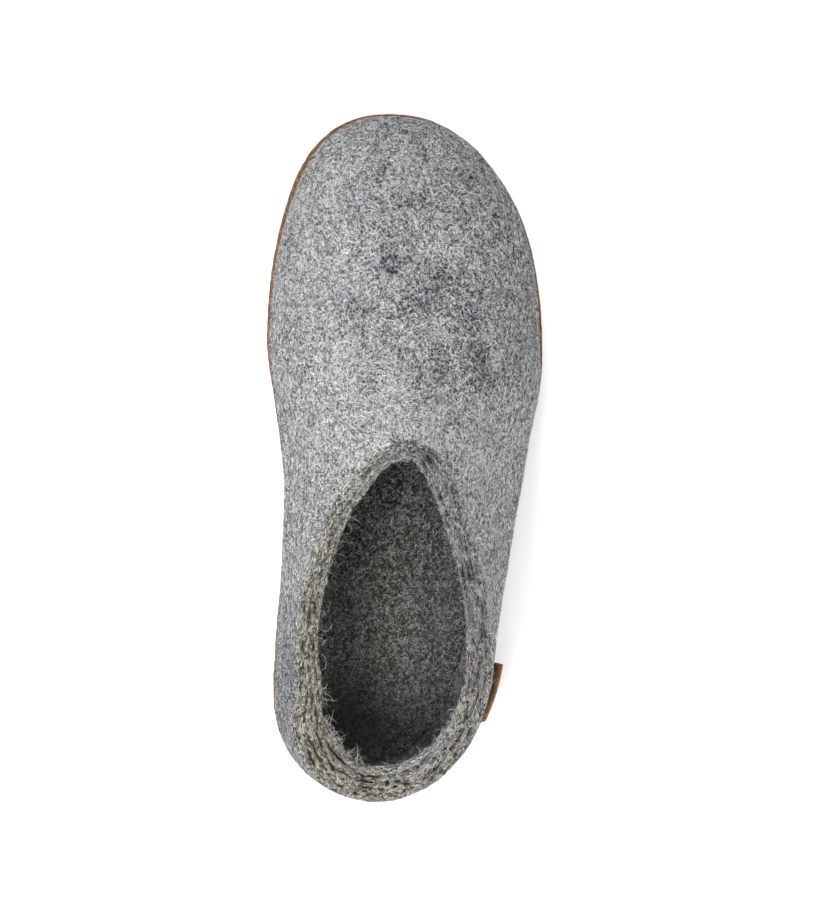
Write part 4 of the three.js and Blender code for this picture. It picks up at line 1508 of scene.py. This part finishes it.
def clothe(obj, material):
    obj.data.materials.clear()
    obj.data.materials.append(material)


def area_light(name, place, target, size, power):
    light = bpy.data.lights.new(name, "AREA")
    light.shape = "DISK"
    light.size = size
    light.energy = power
    obj = bpy.data.objects.new(name, light)
    obj.location = place
    obj.rotation_mode = "QUATERNION"
    obj.rotation_quaternion = (Vector(target) - Vector(place)).to_track_quat("-Z", "Y")
    bpy.context.scene.collection.objects.link(obj)


# The camera and the studio, in metres and watts. The camera stands where the photograph's stood.
CAMERA_PLACE = (-0.121, -0.007, 0.8)
CAMERA_TARGET = (0.0125, -0.0005, 0.02)
CAMERA_LENS = 82.6
CAMERA_SENSOR = 36
FLOOR_SIZE = 60
FLOOR_PLACE = (0, 0, -0.0002)
LIGHT_NAMES = ("name", "place", "target", "size", "power")
LIGHTS = (
    ("window_light", (-0.92, -0.7, 1.02), (0, 0, 0), 0.8, 36.5),
    ("toe_light", (-0.35, 1.25, 0.8), (0, 0, 0.03), 0.6, 12),
    ("fill_light", (1.1, -0.9, 0.28), (0, -0.05, 0.02), 0.5, 13),
)
AIR_COLOUR = (1, 1, 1, 1)
AIR_STRENGTH = 1.0


def make_camera():
    data = bpy.data.cameras.new("photo_camera")
    data.lens = CAMERA_LENS
    data.sensor_width = CAMERA_SENSOR
    data.clip_start = 0.01
    data.clip_end = 20
    camera = bpy.data.objects.new("photo_camera", data)
    camera.location = CAMERA_PLACE
    forward = (Vector(CAMERA_TARGET) - Vector(CAMERA_PLACE)).normalized()
    right = forward.cross(Vector((0, 1, 0))).normalized()
    up = right.cross(forward)
    camera.rotation_mode = "QUATERNION"
    turned = [[right[i], up[i], -forward[i]] for i in range(3)]
    camera.rotation_quaternion = Matrix(turned).to_quaternion()
    bpy.context.scene.collection.objects.link(camera)
    bpy.context.scene.camera = camera


def make_studio():
    bpy.ops.mesh.primitive_plane_add(size=FLOOR_SIZE, location=FLOOR_PLACE)
    floor = bpy.context.object
    floor.name = "studio_floor"
    clothe(floor, paper_material())
    for light in LIGHTS:
        area_light(**dict(zip(LIGHT_NAMES, light)))
    world = bpy.data.worlds.new("studio_air")
    world.use_nodes = True
    air = world.node_tree.nodes["Background"]
    air.inputs["Color"].default_value = AIR_COLOUR
    air.inputs["Strength"].default_value = AIR_STRENGTH
    bpy.context.scene.world = world
    bpy.context.scene.view_settings.view_transform = "Standard"


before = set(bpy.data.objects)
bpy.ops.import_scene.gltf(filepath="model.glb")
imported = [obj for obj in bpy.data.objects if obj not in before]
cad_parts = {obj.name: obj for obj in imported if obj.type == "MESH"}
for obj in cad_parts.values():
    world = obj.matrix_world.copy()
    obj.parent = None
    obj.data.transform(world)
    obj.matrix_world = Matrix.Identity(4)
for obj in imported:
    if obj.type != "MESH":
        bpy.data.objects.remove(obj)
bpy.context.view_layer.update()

marl_group = fibre_marl_group()
leather_group = grain_group()

upper, felt, zone, beds, slit = make_upper()
clothe(upper, upper_felt_material(marl_group))
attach(upper, "root")
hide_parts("upper")

insole, bed_top = make_insole(beds)
clothe(insole, insole_felt_material(marl_group))
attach(insole, "root")
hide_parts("insole")

outsole = make_outsole()
sole_tones = (srgb(20, 15, 12), srgb(122, 86, 56))
sole_leather = leather_material("worn brown sole leather", leather_group, *sole_tones, 0.36, 0.64, 0.6)
clothe(outsole, sole_leather)
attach(outsole, "root")
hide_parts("outsole")

tab = make_tab()
tab_tones = (srgb(46, 32, 17), srgb(134, 98, 58))
tab_leather = leather_material("brown tab leather", leather_group, *tab_tones, 0.3, 0.68, 0.65)
clothe(tab, tab_leather)
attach(tab, "root")
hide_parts("side_tab")

wool = fibre_material()
for fibres in make_fibres(felt, zone, slit, bed_top):
    clothe(fibres, wool)
    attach(fibres, "root")

make_camera()
make_studio()
